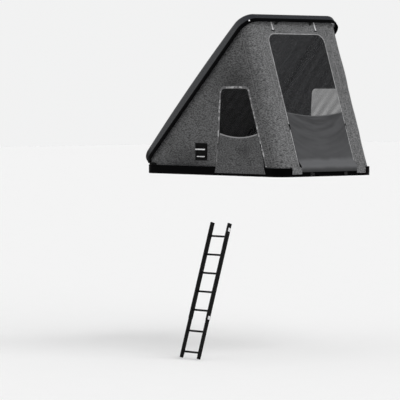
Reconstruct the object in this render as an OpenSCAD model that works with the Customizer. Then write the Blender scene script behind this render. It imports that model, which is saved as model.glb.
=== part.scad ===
// Wedge-opening hard-shell roof tent with its ladder.
// Millimetres. Origin: centre of the mounting plane under the base.
// +X to the door end, +Y to the right-hand side, +Z up.

/* [Base] */
// Length of the base over its outer faces
base_l = 2210; // [2000:10:2400]
// Width of the base over its outer faces
base_w = 1380; // [1240:10:1500]
// Height of the base wall
base_h = 94; // [86:1:120]
// Corner radius of the base in plan
base_r = 150; // [120:5:200]
// Thickness of the base wall
tray_t = 4; // [3:0.5:6]
// Thickness of the bottom sheet
sheet_t = 3; // [2:0.5:5]
// Width of the fabric track inside the top of the wall
track_w = 28; // [26:1:36]
// Height of the fabric track
track_h = 14; // [10:1:20]

/* [Mounting rails] */
// Width of a mounting rail
rail_w = 60; // [40:1:80]
// Height of a mounting rail
rail_h = 24; // [18:1:32]
// Wall of a mounting rail
rail_wall = 3; // [2:0.5:5]
// Length of a mounting rail
rail_l = 1900; // [1400:10:1960]
// Distance between the rails' centre lines
rail_pitch = 800; // [600:10:1000]
// Width of a bolt slot
slot_w = 8.5; // [6.5:0.5:10.5]
// Length of a bolt slot
slot_l = 60; // [30:1:90]
// Distance between bolt slots along a rail
slot_pitch = 900; // [700:10:1200]
// Radius of the rivets that hold the rails
rivet_r = 4; // [3:0.5:6]

/* [Floor and mattress] */
// Thickness of the floor panel
floor_t = 18; // [12:1:24]
// Set-back of the mattress from the base's front face
mattress_front = 105; // [95:1:160]
// Set-back of the mattress from the base's rear face
mattress_rear = 55; // [45:1:90]
// Set-back of the mattress from the base's side faces
mattress_side = 65; // [60:1:90]
// Thickness of the mattress
mattress_t = 65; // [40:1:70]
// Corner radius of the mattress
mattress_r = 60; // [40:5:100]
// Crown of the mattress top above its edge
mattress_crown = 9; // [4:1:15]
// Draw-in of the mattress's long sides
mattress_draw = 8; // [0:1:15]

/* [Lid] */
// Opening angle of the lid
lid_open = 43.5; // [36:0.5:48]
// Overhang of the lid at the hinge end
lid_over_front = 27; // [24:1:34]
// Overhang of the lid at each side
lid_over_side = 21; // [18:1:30]
// Overhang of the lid at the door end
lid_over_rear = 58; // [50:1:80]
// Lap of the closed lid over the base wall
lid_lap = 40; // [35:1:44]
// Wall of the lid shell
lid_t = 5; // [4:0.5:7]
// Lid height above its rim at the hinge end
lid_front_h = 112; // [108:1:125]
// Lid height above its rim at the door end
lid_rear_h = 127; // [112:1:140]
// Rise of the lid's long crown above its ends
lid_crown = 27; // [10:1:40]
// Radius of the lid's upper edge
lid_edge_r = 40; // [25:1:45]
// Height of the black edge trim
trim_h = 45; // [42:1:50]
// Thickness of the edge trim
trim_t = 6; // [4:0.5:8]
// Step of the trim outside the shell
trim_step = 2; // [1:0.5:3]
// Width of the lid's inner frame
frame_w = 44; // [40:1:50]
// Height of the lid's inner frame
frame_h = 15; // [12:1:20]
// Thickness of the quilted head lining
liner_t = 14; // [8:1:18]

/* [Hinge and struts] */
// Height of the hinge axis above the base wall
hinge_rise = 41; // [39:1:44]
// Distance of the hinge axis behind the base's front face
hinge_set = 5; // [4:0.5:8]
// Distance of each hinge from the middle
hinge_y = 420; // [300:10:480]
// Width of a hinge leaf
hinge_w = 80; // [60:2:100]
// Radius of a hinge knuckle
knuckle_r = 9; // [8:0.5:10]
// Radius of a hinge pin
pin_r = 5; // [4:0.5:6]
// Thickness of a hinge leaf
leaf_t = 4; // [3:0.5:5]
// Distance of the strut's base pivot behind the hinge axis
strut_base_x = 350; // [300:10:400]
// Distance of the strut's lid pivot from the hinge axis
strut_lid_x = 950; // [900:10:1000]
// Height of the strut's base pivot above the base wall
strut_base_z = 18; // [16:1:24]
// Radius of a strut cylinder
strut_r = 11; // [9:0.5:12]
// Radius of a strut rod
rod_r = 5; // [4:0.5:6]
// Length of a strut cylinder
cylinder_l = 430; // [380:5:440]

/* [Fabric body] */
// Thickness of the wall fabric solids
fabric_t = 3; // [2:0.5:4]
// Set-back of the fabric walls from the base's outer face
fabric_in = 22; // [20:1:26]
// Side door: front corner at the sill
door_sill_front = 95; // [60:5:130]
// Side door: rear corner at the sill
door_sill_rear = 845; // [780:5:880]
// Side door: front corner at the top
door_top_front = 149; // [120:5:200]
// Side door: rear corner at the top
door_top_rear = 561; // [480:5:580]
// Side door: height of the top edge
door_top_z = 924; // [800:5:940]
// Side door: corner radius at the top
door_r = 55; // [30:5:80]
// Side door: height of the lowered flap's ends
flap_z = 446; // [380:5:500]
// Sag of the lowered side flap
flap_sag = 40; // [20:2:60]
// Side flap: front end of its hanging skirt
skirt_front = 72; // [50:2:90]
// Side flap: rear end of its hanging skirt
skirt_rear = 872; // [850:2:900]
// Height at which the side skirts end above the mounting plane
skirt_z = 28; // [20:1:40]
// Rear door: half of its width
rear_door_half = 405; // [340:5:440]
// Rear door: distance of its top below the top of the rear wall
rear_door_drop = 144; // [120:4:200]
// Rear door: corner radius at the top
rear_door_r = 95; // [60:5:120]
// Rear door: height of the lowered flap's ends along the wall
rear_flap_v = 608; // [500:4:700]
// Sag of the lowered rear flap
rear_flap_sag = 44; // [20:2:70]
// Rear wall skirts: outer edge on the near side
rear_skirt_left = 505; // [460:5:530]
// Rear wall skirts: outer edge on the far side
rear_skirt_right = 530; // [460:5:535]
// Height at which the rear flap ends above the mounting plane
rear_flap_z = 50; // [44:1:60]
// Width of the zip tapes
zip_w = 14; // [8:1:20]
// Thickness of the zip tapes
zip_t = 2.5; // [1.5:0.5:4]

/* [Ladder] */
// Length of the ladder as it stands
ladder_l = 1451; // [1300:1:1600]
// Distance between the stiles' centre lines
ladder_w = 268; // [240:2:320]
// Lean of the ladder from upright
ladder_lean = 17.4; // [10:0.2:24]
// Width of a stile
stile_w = 25; // [22:1:30]
// Depth of a stile
stile_d = 44; // [38:1:52]
// Wall of a stile
stile_t = 2; // [1.5:0.5:3]
// Length of the upper stiles
upper_l = 1030; // [980:5:1100]
// First rung below the top of the ladder
rung_first = 137; // [100:1:170]
// Spacing of the upper rungs
rung_pitch = 200; // [180:1:210]
// Spacing of the lower rungs
rung_pitch_low = 224; // [205:1:230]
// Radius of a rung
rung_r = 10; // [8:0.5:11]
// Overlap of the lower stiles inside the upper ones
lower_lap = 330; // [250:5:400]

/* [Hidden] */
$fn = 48;

// Clearance between pieces that only lie against each other
fit = 0.3;
// Radial clearance of a pin in its eye
pin_clear = 0.05;
// Overlap that fuses two shapes of one piece
fuse = 1;
// Room for the flats of a faceted corner beside a true arc
facet_gap = 1;

// Places along and across the base
front_x = -base_l / 2;
rear_x = base_l / 2;
side_y = base_w / 2;
hinge_x = front_x + hinge_set;
hinge_z = base_h + hinge_rise;
rim_z = base_h - lid_lap;
floor_z = rail_h;
mattress_z = floor_z + floor_t;
wall_z = base_h + fit;
fabric_y = side_y - fabric_in;
fabric_r = base_r - fabric_in;

// Lid places, in its closed position
lid_x0 = front_x - lid_over_front;
lid_x1 = rear_x + lid_over_rear;
lid_y = side_y + lid_over_side;
lid_r = base_r + lid_over_side;
lid_l = lid_x1 - lid_x0;
frame_in = trim_step + lid_t + facet_gap;
frame_y = lid_y - frame_in - frame_w;
// Fabric meets the lid just under its inner frame
fabric_n = trim_h - fit - fabric_t * sin(lid_open);
lid_fabric_x = lid_x1 - frame_in - frame_w + (fabric_y - frame_y) + fit;
function lid_top(x) = let (t = (x - lid_x0) / lid_l)
    lid_front_h + (lid_rear_h - lid_front_h) * t + 4 * lid_crown * t * (1 - t);

// A point of the closed lid, turned to the open position
function opened(x, n) = let (a = x - hinge_x, b = rim_z + n - hinge_z)
    [hinge_x + a * cos(lid_open) - b * sin(lid_open), hinge_z + a * sin(lid_open) + b * cos(lid_open)];
module lid_pose() {
    translate([hinge_x, 0, hinge_z]) rotate([0, -lid_open, 0]) translate([-hinge_x, 0, -hinge_z])
        children();
}
// Height of the fabric's upper edge above a place on the side of the base
function fabric_top(x) = let (a = opened(lid_x0, fabric_n), b = opened(lid_fabric_x, fabric_n))
    a[1] + (b[1] - a[1]) * (x - a[0]) / (b[0] - a[0]);

// Rear wall plane
rear_foot_x = rear_x - fabric_in;
rear_head = opened(lid_fabric_x, fabric_n);
rear_lean = atan((rear_foot_x - rear_head[0]) / (rear_head[1] - wall_z));
rear_wall_v = (rear_head[1] - wall_z) / cos(rear_lean);
module rear_plane() {
    translate([rear_foot_x, 0, wall_z]) rotate([0, -rear_lean, 0]) rotate([90, 0, 90]) children();
}
module left_plane() {
    translate([0, -fabric_y, 0]) rotate([90, 0, 0]) children();
}
module right_copy() {
    mirror([0, 1, 0]) children();
}

// Both sides of the object
module both_sides() {
    children();
    mirror([0, 1, 0]) children();
}

// Rounded plan outline as a flat shape
module plan(x0, x1, y, r) {
    translate([x0 + r, -y]) square([x1 - x0 - 2 * r, 2 * y]);
    translate([x0, -y + r]) square([x1 - x0, 2 * y - 2 * r]);
    for (x = [x0 + r, x1 - r], s = [-1, 1]) translate([x, s * (y - r)]) circle(r);
}
module plan_ring(x0, x1, y, r, inner) {
    difference() {
        plan(x0, x1, y, r);
        plan(x0 + inner, x1 - inner, y - inner, r - inner);
    }
}

// Half outline from the front to the rear edge, along the side with negative Y
corner_steps = 8;
side_steps = 10;
function half_outline(x0, x1, y, r, draw = 0) = concat(
    [for (i = [0:corner_steps]) let (a = 90 * i / corner_steps)
        [x0 + r - r * cos(a), -(y - r) - r * sin(a)]],
    [for (i = [1:side_steps - 1]) let (t = i / side_steps)
        [x0 + r + (x1 - x0 - 2 * r) * t, -y + draw * sin(180 * t)]],
    [for (i = [0:corner_steps]) let (a = 90 * i / corner_steps)
        [x1 - r + r * sin(a), -(y - r) - r * cos(a)]]);
function mirrored(half) = [for (i = [len(half) - 1:-1:0]) [half[i][0], -half[i][1]]];
function full_outline(half) = concat(half, mirrored(half));

// Closed solid through a stack of rings; each end is closed by strips from side to side
module ring_stack(rings) {
    count = len(rings[0]);
    last = len(rings) - 1;
    points = [for (ring = rings) for (p = ring) p];
    sides = [for (k = [0:last - 1]) for (i = [0:count - 1]) let (j = (i + 1) % count)
        each [[k * count + i, (k + 1) * count + i, (k + 1) * count + j],
              [k * count + i, (k + 1) * count + j, k * count + j]]];
    caps = [for (i = [0:count / 2 - 2]) let (m = count - 1 - i)
        each [[i, i + 1, m - 1], [i, m - 1, m]]];
    top = last * count;
    polyhedron(points, concat(sides, caps, [for (f = caps) [top + f[0], top + f[2], top + f[1]]]));
}

// Sheet between a lower and an upper line of points, with its thickness towards the inside
module ruled_sheet(low, high, inward) {
    count = len(low);
    points = concat(low, high, [for (i = [0:count - 1]) low[i] + inward[i]],
        [for (i = [0:count - 1]) high[i] + inward[i]]);
    a = 0;
    b = count;
    c = 2 * count;
    d = 3 * count;
    strips = [for (i = [0:count - 2]) each [
        [a + i, b + i, b + i + 1], [a + i, b + i + 1, a + i + 1],
        [c + i, c + i + 1, d + i + 1], [c + i, d + i + 1, d + i],
        [a + i, a + i + 1, c + i + 1], [a + i, c + i + 1, c + i],
        [b + i, d + i, d + i + 1], [b + i, d + i + 1, b + i + 1]]];
    n = count - 1;
    ends = [[a, c, d], [a, d, b], [a + n, b + n, d + n], [a + n, d + n, c + n]];
    polyhedron(points, concat(strips, ends));
}

// Cloth over a grid of points, with its thickness along one direction
module cloth(grid, back) {
    rows = len(grid);
    cols = len(grid[0]);
    front = [for (row = grid) for (p = row) p];
    count = rows * cols;
    points = concat(front, [for (p = front) p + back]);
    cells = [for (r = [0:rows - 2]) for (c = [0:cols - 2]) let (i = r * cols + c)
        each [[i, i + cols + 1, i + cols], [i, i + 1, i + cols + 1]]];
    rims = concat(
        [for (c = [0:cols - 2]) [c, c + 1]],
        [for (r = [0:rows - 2]) [(r + 1) * cols - 1, (r + 2) * cols - 1]],
        [for (c = [cols - 1:-1:1]) [(rows - 1) * cols + c, (rows - 1) * cols + c - 1]],
        [for (r = [rows - 1:-1:1]) [r * cols, (r - 1) * cols]]);
    polyhedron(points, concat(cells,
        [for (f = cells) [f[0] + count, f[2] + count, f[1] + count]],
        [for (e = rims) each [[e[0], e[1] + count, e[1]], [e[0], e[0] + count, e[1] + count]]]));
}

// Base

module base_tray() {
    color("#0b0b0c") difference() {
        linear_extrude(base_h) plan(front_x, rear_x, side_y, base_r);
        translate([0, 0, sheet_t]) linear_extrude(base_h)
            plan(front_x + tray_t, rear_x - tray_t, side_y - tray_t, base_r - tray_t);
        for (s = [-1, 1]) translate([-rail_l / 2 - fit, s * rail_pitch / 2 - rail_w / 2 - fit, -fuse])
            cube([rail_l + 2 * fit, rail_w + 2 * fit, sheet_t + 2 * fuse]);
    }
}

rail_flange = 18;
module mounting_rails() {
    color("#8e9195") for (s = [-1, 1]) translate([0, s * rail_pitch / 2, 0]) difference() {
        union() {
            translate([-rail_l / 2, -rail_w / 2, 0]) cube([rail_l, rail_w, rail_h]);
            translate([-rail_l / 2, -rail_w / 2 - rail_flange, sheet_t])
                cube([rail_l, rail_w + 2 * rail_flange, rail_wall]);
        }
        translate([-rail_l / 2 - fuse, -rail_w / 2 + rail_wall, rail_wall])
            cube([rail_l + 2 * fuse, rail_w - 2 * rail_wall, rail_h - 2 * rail_wall]);
        for (x = [-1, 1]) translate([x * slot_pitch / 2, 0, -fuse]) linear_extrude(rail_wall + 2 * fuse) {
            square([slot_l - slot_w, slot_w], center = true);
            for (e = [-1, 1]) translate([e * (slot_l - slot_w) / 2, 0]) circle(slot_w / 2);
        }
    }
}

rivet_count = 7;
rivet_end = 80;
module rail_rivets() {
    head_h = 2;
    color("#b7b9bc") for (s = [-1, 1], t = [-1, 1], i = [0:rivet_count - 1]) {
        x = -rail_l / 2 + rivet_end + (rail_l - 2 * rivet_end) * i / (rivet_count - 1);
        translate([x, s * rail_pitch / 2 + t * (rail_w + rail_flange) / 2, sheet_t + rail_wall])
            cylinder(r = rivet_r, h = head_h);
    }
}

module base_floor() {
    gap = tray_t + 2;
    color("#6b5a44") translate([0, 0, floor_z]) linear_extrude(floor_t)
        plan(front_x + gap, rear_x - gap, side_y - gap, base_r - gap);
}

// The track stops short of the hinges at the front
track_cut = 60;
module fabric_track() {
    color("#1a1a1b") difference() {
        translate([0, 0, base_h - track_h]) linear_extrude(track_h) difference() {
            plan(front_x + tray_t, rear_x - tray_t, side_y - tray_t, base_r - tray_t);
            plan(front_x + tray_t + track_w, rear_x - tray_t - track_w, side_y - tray_t - track_w,
                base_r - tray_t - track_w);
        }
        translate([front_x, -hinge_y - hinge_w / 2 - track_cut, 0])
            cube([base_r, 2 * hinge_y + hinge_w + 2 * track_cut, base_h + fuse]);
    }
}

module mattress() {
    x0 = front_x + mattress_front;
    x1 = rear_x - mattress_rear;
    y = side_y - mattress_side;
    edge = mattress_t - mattress_crown;
    // Each level: inset from the side and height, from the flat bottom to the crown
    levels = [[14, 0], [4, 6], [0, edge * 0.35], [0, edge * 0.65], [5, edge * 0.88], [18, edge],
        [60, edge + mattress_crown * 0.45], [150, edge + mattress_crown * 0.75],
        [300, edge + mattress_crown * 0.94], [460, mattress_t]];
    rings = [for (l = levels) [for (p = full_outline(half_outline(x0 + l[0], x1 - l[0], y - l[0],
        max(mattress_r - l[0] * 0.6, 12), mattress_draw)))
        [p[0], p[1], mattress_z + fit + l[1]]]];
    color("#77797c") ring_stack(rings);
}

// Hinge

// Gap between knuckles, width of the middle knuckle, and the depth by which a leaf meets its knuckle
knuckle_gap = 0.4;
knuckle_mid = 30;
knuckle_join = 2;
module hinge_base_leaves() {
    outer = (hinge_w - knuckle_mid) / 2 - knuckle_gap;
    color("#2a2b2d") for (s = [-1, 1]) translate([0, s * hinge_y, 0]) difference() {
        union() {
            translate([front_x + tray_t, -hinge_w / 2, floor_z + floor_t])
                cube([leaf_t, hinge_w, hinge_z - floor_z - floor_t - knuckle_r - knuckle_join]);
            for (e = [0, 1]) translate([hinge_x, e == 0 ? -hinge_w / 2 : hinge_w / 2 - outer, hinge_z])
                rotate([-90, 0, 0]) cylinder(r = knuckle_r, h = outer);
            for (e = [0, 1])
                translate([front_x + tray_t, e == 0 ? -hinge_w / 2 : hinge_w / 2 - outer,
                    hinge_z - knuckle_r - 2 * knuckle_join]) cube([leaf_t, outer, knuckle_r + knuckle_join]);
        }
        translate([hinge_x, -hinge_w, hinge_z]) rotate([-90, 0, 0])
            cylinder(r = pin_r + pin_clear, h = 2 * hinge_w);
    }
}

module hinge_pins() {
    head_r = pin_r + 2;
    head_h = 3;
    color("#9a9c9f") for (s = [-1, 1]) translate([hinge_x, s * hinge_y, hinge_z]) rotate([-90, 0, 0]) {
        translate([0, 0, -hinge_w / 2 - fuse]) cylinder(r = pin_r, h = hinge_w + 2 * fuse);
        for (e = [-1, 1]) translate([0, 0, e * (hinge_w / 2 + fit + head_h / 2)])
            cylinder(r = head_r, h = head_h, center = true);
    }
}

beam_x = 52;
beam_w = 40;
beam_end = 90;
plate_n = hinge_z - rim_z - 7;
module hinge_lid_leaves() {
    color("#2a2b2d") lid_pose() for (s = [-1, 1]) translate([0, s * hinge_y, 0]) difference() {
        union() {
            translate([hinge_x, -knuckle_mid / 2, hinge_z]) rotate([-90, 0, 0])
                cylinder(r = knuckle_r, h = knuckle_mid);
            translate([hinge_x, -knuckle_mid / 2, rim_z + plate_n])
                cube([beam_x, knuckle_mid, leaf_t]);
            translate([hinge_x + knuckle_r * 2, -hinge_w / 2, rim_z + plate_n])
                cube([beam_x + beam_w - knuckle_r * 2, hinge_w, leaf_t]);
        }
        translate([hinge_x, -hinge_w, hinge_z]) rotate([-90, 0, 0])
            cylinder(r = pin_r + pin_clear, h = 2 * hinge_w);
    }
}

// Cross beam inside the front of the lid, which carries the hinge leaves
module lid_beam() {
    low = plate_n + leaf_t;
    color("#3a3b3d") lid_pose() translate([hinge_x + beam_x, -lid_y + beam_end, rim_z + low])
        cube([beam_w, 2 * (lid_y - beam_end), lid_top(hinge_x + beam_x) - lid_t - fit - low]);
}

// Lid

// The lid's skirt is cut away round the front, so that it clears the base as it turns
cut_front_n = 64;
cut_run = 96;
module front_cut() {
    translate([lid_x0, 0, rim_z]) rotate([90, 0, 0]) linear_extrude(2 * lid_y + 2 * fuse, center = true)
        polygon([[-fuse, -fuse], [-fuse, cut_front_n + fuse * cut_front_n / cut_run], [cut_run, 0],
            [cut_run, -fuse]]);
}

function lid_ring(inset, drop) = [for (p = full_outline(half_outline(lid_x0 + inset, lid_x1 - inset,
    lid_y - inset, lid_r - inset))) [p[0], p[1], rim_z + lid_top(p[0]) - drop]];
function lid_base_ring(inset, n) = [for (p = full_outline(half_outline(lid_x0 + inset, lid_x1 - inset,
    lid_y - inset, lid_r - inset))) [p[0], p[1], rim_z + n]];
edge_steps = 4;
// Rings of the lid's outer form, or of its hollow, from the rim to the top
function lid_form(inset, r, drop, n0) = concat([lid_base_ring(inset, n0)],
    [for (i = [0:edge_steps]) let (a = 90 * i / edge_steps)
        lid_ring(inset + r * (1 - cos(a)), drop + r * (1 - sin(a)))]);

module lid_shell() {
    color("#2b2d31") lid_pose() difference() {
        ring_stack(lid_form(trim_step, lid_edge_r, 0, trim_h));
        ring_stack(lid_form(trim_step + lid_t, lid_edge_r - lid_t, lid_t, trim_h - fuse));
        front_cut();
    }
}

module lid_edge_trim() {
    color("#060607") lid_pose() difference() {
        translate([0, 0, rim_z]) linear_extrude(trim_h) plan_ring(lid_x0, lid_x1, lid_y, lid_r, trim_t);
        front_cut();
    }
}

// The inner frame and the seal run along the sides and the rear
frame_front = 190;
module three_sides() {
    intersection() {
        children();
        translate([lid_x0 + frame_front, -lid_y, rim_z]) cube([lid_l, 2 * lid_y, lid_rear_h]);
    }
}
module lid_frame() {
    color("#3a3b3d") lid_pose() three_sides() translate([0, 0, rim_z + trim_h])
        linear_extrude(frame_h) plan_ring(lid_x0 + frame_in, lid_x1 - frame_in, lid_y - frame_in,
            lid_r - frame_in, frame_w);
}

seal_w = 14;
module lid_seal() {
    in = trim_t + fit;
    n = lid_lap + fit;
    color("#141414") lid_pose() three_sides() translate([0, 0, rim_z + n])
        linear_extrude(trim_h - n) plan_ring(lid_x0 + in, lid_x1 - in, lid_y - in, lid_r - in, seal_w);
}

liner_in = 70;
liner_front = 200;
module lid_liner() {
    x0 = lid_x0 + liner_front;
    x1 = lid_x1 - liner_in;
    half = half_outline(x0, x1, lid_y - liner_in, lid_r - liner_in);
    function level(drop) = [for (p = full_outline(half)) [p[0], p[1], rim_z + lid_top(p[0]) - lid_t - drop]];
    color("#55575a") lid_pose() ring_stack([level(liner_t + fit), level(fit)]);
}

bolt_r = 9;
bolt_h = 5;
bolt_n = 32;
bolt_turn = 34;
module lid_corner_bolts() {
    color("#d9dadb") lid_pose() both_sides()
        translate([lid_x1 - lid_r, -(lid_y - lid_r), rim_z + bolt_n]) rotate([0, 0, -bolt_turn])
            translate([lid_r + fit, 0, 0]) rotate([0, 90, 0]) cylinder(r = bolt_r, h = bolt_h);
}

// Latches: a turning arm on each side of the rear wall and a keeper in the lid

latch_y = 250;
latch_z = 26;
latch_plate_t = 4;
latch_arm_l = 32;
latch_arm_w = 16;
latch_arm_t = 6;
latch_pin_r = 5;
module latch_plates() {
    plate_w = 40;
    color("#101011") for (s = [-1, 1]) {
        translate([rear_x, s * latch_y - plate_w / 2, latch_z - plate_w / 2])
            cube([latch_plate_t, plate_w, plate_w]);
        translate([rear_x, s * latch_y, latch_z]) rotate([0, 90, 0])
            cylinder(r = latch_pin_r, h = latch_plate_t + fit + latch_arm_t);
    }
}
module latch_arm() {
    color("#101011") translate([rear_x + latch_plate_t + fit, latch_y, latch_z]) rotate([90, 0, 90])
        difference() {
            linear_extrude(latch_arm_t) {
                circle(latch_arm_w / 2);
                translate([-latch_arm_l, -latch_arm_w / 2]) square([latch_arm_l, latch_arm_w]);
                translate([-latch_arm_l, -latch_arm_w / 2]) square([latch_arm_w / 2, latch_arm_w * 1.4]);
            }
            translate([0, 0, -fuse]) cylinder(r = latch_pin_r + pin_clear, h = latch_arm_t + 2 * fuse);
        }
}
module right_latch() {
    latch_arm();
}
module left_latch() {
    right_copy() latch_arm();
}
module lid_keepers() {
    keeper_w = 26;
    keeper_h = 6;
    n = latch_z + latch_arm_l - rim_z + 2;
    x0 = rear_x + latch_plate_t;
    color("#101011") lid_pose() for (s = [-1, 1])
        translate([x0, s * latch_y - keeper_w / 2, rim_z + n])
            cube([lid_x1 - trim_t - x0, keeper_w, keeper_h]);
}

// Struts

strut_y = frame_y - 13;
eye_w = 16;
eye_r = 12;
neck_l = 36;
strut_base = [hinge_x + strut_base_x, base_h + strut_base_z];
strut_lid_n = trim_h + frame_h / 2;
strut_lid = opened(hinge_x + strut_lid_x, strut_lid_n);
strut_run = strut_lid - strut_base;
strut_open_l = norm(strut_run);
strut_angle = atan2(strut_run[1], strut_run[0]);
strut_shut = [hinge_x + strut_lid_x, rim_z + strut_lid_n] - strut_base;
// Travel of a rod and turn of a cylinder from open to shut
strut_travel = strut_open_l - norm(strut_shut);
strut_turn = strut_angle - atan2(strut_shut[1], strut_shut[0]);
// Frame of the left strut: X along the strut, from its base pivot
module strut_pose() {
    translate([strut_base[0], -strut_y, strut_base[1]]) rotate([0, -strut_angle, 0]) children();
}

// Base bracket: a foot on the fabric track and an ear beside the cylinder's eye, with a pin
module strut_base_brackets() {
    foot_h = 4;
    block_l = 44;
    y0 = strut_y + eye_w / 2 + fit;
    pin_end = 3;
    color("#26272a") both_sides() {
        translate([strut_base[0] - block_l / 2, -fabric_y + fabric_t + fit, base_h])
            cube([block_l, fabric_y - fabric_t - fit - y0, foot_h]);
        translate([strut_base[0] - block_l / 2, -frame_y + fit, base_h])
            cube([block_l, frame_y - fit - y0, strut_base_z + eye_r]);
        translate([strut_base[0], -strut_y + eye_w / 2 + pin_end, strut_base[1]]) rotate([90, 0, 0])
            cylinder(r = pin_r, h = eye_w + pin_end + fit + fuse);
    }
}

module left_strut_cylinder() {
    bore_start = 60;
    color("#17181a") strut_pose() difference() {
        union() {
            rotate([90, 0, 0]) cylinder(r = eye_r, h = eye_w, center = true);
            rotate([0, 90, 0]) cylinder(r = strut_r, h = cylinder_l);
        }
        rotate([90, 0, 0]) cylinder(r = pin_r + pin_clear, h = 2 * eye_w, center = true);
        for (s = [-1, 1]) translate([0, s * (eye_w + strut_r) / 2, 0])
            cube([2 * neck_l, strut_r, 3 * eye_r], center = true);
        translate([bore_start, 0, 0]) rotate([0, 90, 0]) cylinder(r = rod_r + fit, h = cylinder_l);
    }
}
module right_strut_cylinder() {
    right_copy() left_strut_cylinder();
}

rod_tail = 100;
module left_strut_rod() {
    color("#b9bcc0") strut_pose() {
        translate([cylinder_l - rod_tail, 0, 0]) rotate([0, 90, 0])
            cylinder(r = rod_r, h = strut_open_l - cylinder_l + rod_tail);
        translate([strut_open_l, 0, 0]) rotate([90, 0, 0]) cylinder(r = eye_r, h = eye_w, center = true);
    }
}
module right_strut_rod() {
    right_copy() left_strut_rod();
}

module strut_lid_brackets() {
    block_l = 40;
    y1 = strut_y + eye_w / 2 + fit;
    color("#26272a") lid_pose() both_sides()
        translate([hinge_x + strut_lid_x - block_l / 2, -frame_y, rim_z + trim_h])
            cube([block_l, frame_y - y1, frame_h]);
}

// Fabric walls

// Side door outline in X and Z, with its two upper corners rounded
door_steps = 6;
function fillet(p, from, to, r) = let (
    u = (from - p) / norm(from - p), v = (to - p) / norm(to - p),
    half = acos(u * v) / 2, m = (u + v) / norm(u + v), c = p + m * r / sin(half),
    a0 = p + u * r / tan(half) - c, a1 = p + v * r / tan(half) - c)
    [for (i = [0:door_steps]) let (w = i / door_steps, d = a0 * (1 - w) + a1 * w) c + d * r / norm(d)];
door_low_z = wall_z + 3;
side_door = let (a = [door_sill_front, door_low_z], b = [door_top_front, door_top_z],
    c = [door_top_rear, door_top_z], d = [door_sill_rear, door_low_z])
    concat([a], fillet(b, a, c, door_r), fillet(c, b, d, door_r), [d]);
rear_door_v = rear_wall_v - rear_door_drop;
rear_door = let (a = [-rear_door_half, 3], b = [-rear_door_half, rear_door_v],
    c = [rear_door_half, rear_door_v], d = [rear_door_half, 3])
    concat([a], fillet(b, a, c, rear_door_r), fillet(c, b, d, rear_door_r), [d]);

fabric_color = "#55575a";
rear_arc_x = rear_foot_x - fabric_r;
front_arc_x = front_x + base_r;
arc_y = fabric_y - fabric_r;
lid_arc_x = lid_fabric_x - fabric_r;
module left_wall() {
    arc = [for (i = [1:corner_steps]) let (a = 90 * i / corner_steps)
        [front_arc_x - fabric_r * cos(a), -arc_y - fabric_r * sin(a), -cos(a), -sin(a)]];
    line = concat(arc, [[rear_arc_x, -fabric_y, 0, -1]]);
    low = [for (p = line) [p[0], p[1], wall_z]];
    last = opened(lid_arc_x, fabric_n);
    high = [for (i = [0:len(line) - 1]) i < len(line) - 1
        ? [line[i][0], line[i][1], fabric_top(line[i][0])] : [last[0], line[i][1], last[1]]];
    color(fabric_color) difference() {
        ruled_sheet(low, high, [for (p = line) [-p[2], -p[3], 0] * fabric_t]);
        left_plane() translate([0, 0, -2 * fabric_t]) linear_extrude(3 * fabric_t) polygon(side_door);
    }
}
module right_wall() {
    right_copy() left_wall();
}

module rear_wall() {
    near = [for (i = [0:corner_steps]) let (a = 90 * i / corner_steps) [sin(a), -cos(a), -1]];
    line = concat(near, [for (i = [corner_steps:-1:0]) [near[i][0], -near[i][1], 1]]);
    low = [for (p = line) [rear_arc_x + fit + fabric_r * p[0], p[2] * arc_y + fabric_r * p[1], wall_z]];
    high = [for (p = line) let (q = opened(lid_arc_x + fabric_r * p[0], fabric_n))
        [q[0] + fit, p[2] * arc_y + fabric_r * p[1], q[1]]];
    color(fabric_color) {
        difference() {
            ruled_sheet(low, high, [for (p = line) [-p[0], -p[1], 0] * fabric_t]);
            rear_plane() translate([0, 0, -3 * fabric_t]) linear_extrude(5 * fabric_t) polygon(rear_door);
        }
        for (run = [[-rear_skirt_left, -rear_door_half - fit], [rear_door_half + fit, rear_skirt_right]])
            translate([0, run[0], 0]) rotate([-90, 0, 0]) linear_extrude(run[1] - run[0])
                skirt_section(rear_foot_x, rear_x, skirt_z);
    }
}

// Section of a skirt that lies over the base wall: in from the wall fabric, out and down
skirt_gap = 12;
module skirt_section(inner, outer, end_z) {
    x = outer + skirt_gap;
    top = wall_z + fabric_t;
    polygon([[inner - fabric_t, -wall_z], [inner - fabric_t, -top], [x + fabric_t, -top],
        [x + fabric_t, -end_z], [x, -end_z], [x, -wall_z]]);
}

mesh_t = 1.5;
mesh_color = "#1c1c1d";
module left_window_mesh() {
    color(mesh_color) left_plane() translate([0, 0, -2]) linear_extrude(mesh_t) offset(delta = -fit)
        polygon(side_door);
}
module right_window_mesh() {
    right_copy() left_window_mesh();
}
module rear_door_mesh() {
    color(mesh_color) rear_plane() translate([0, 0, -2]) linear_extrude(mesh_t) offset(delta = -fit)
        polygon(rear_door);
}

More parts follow.
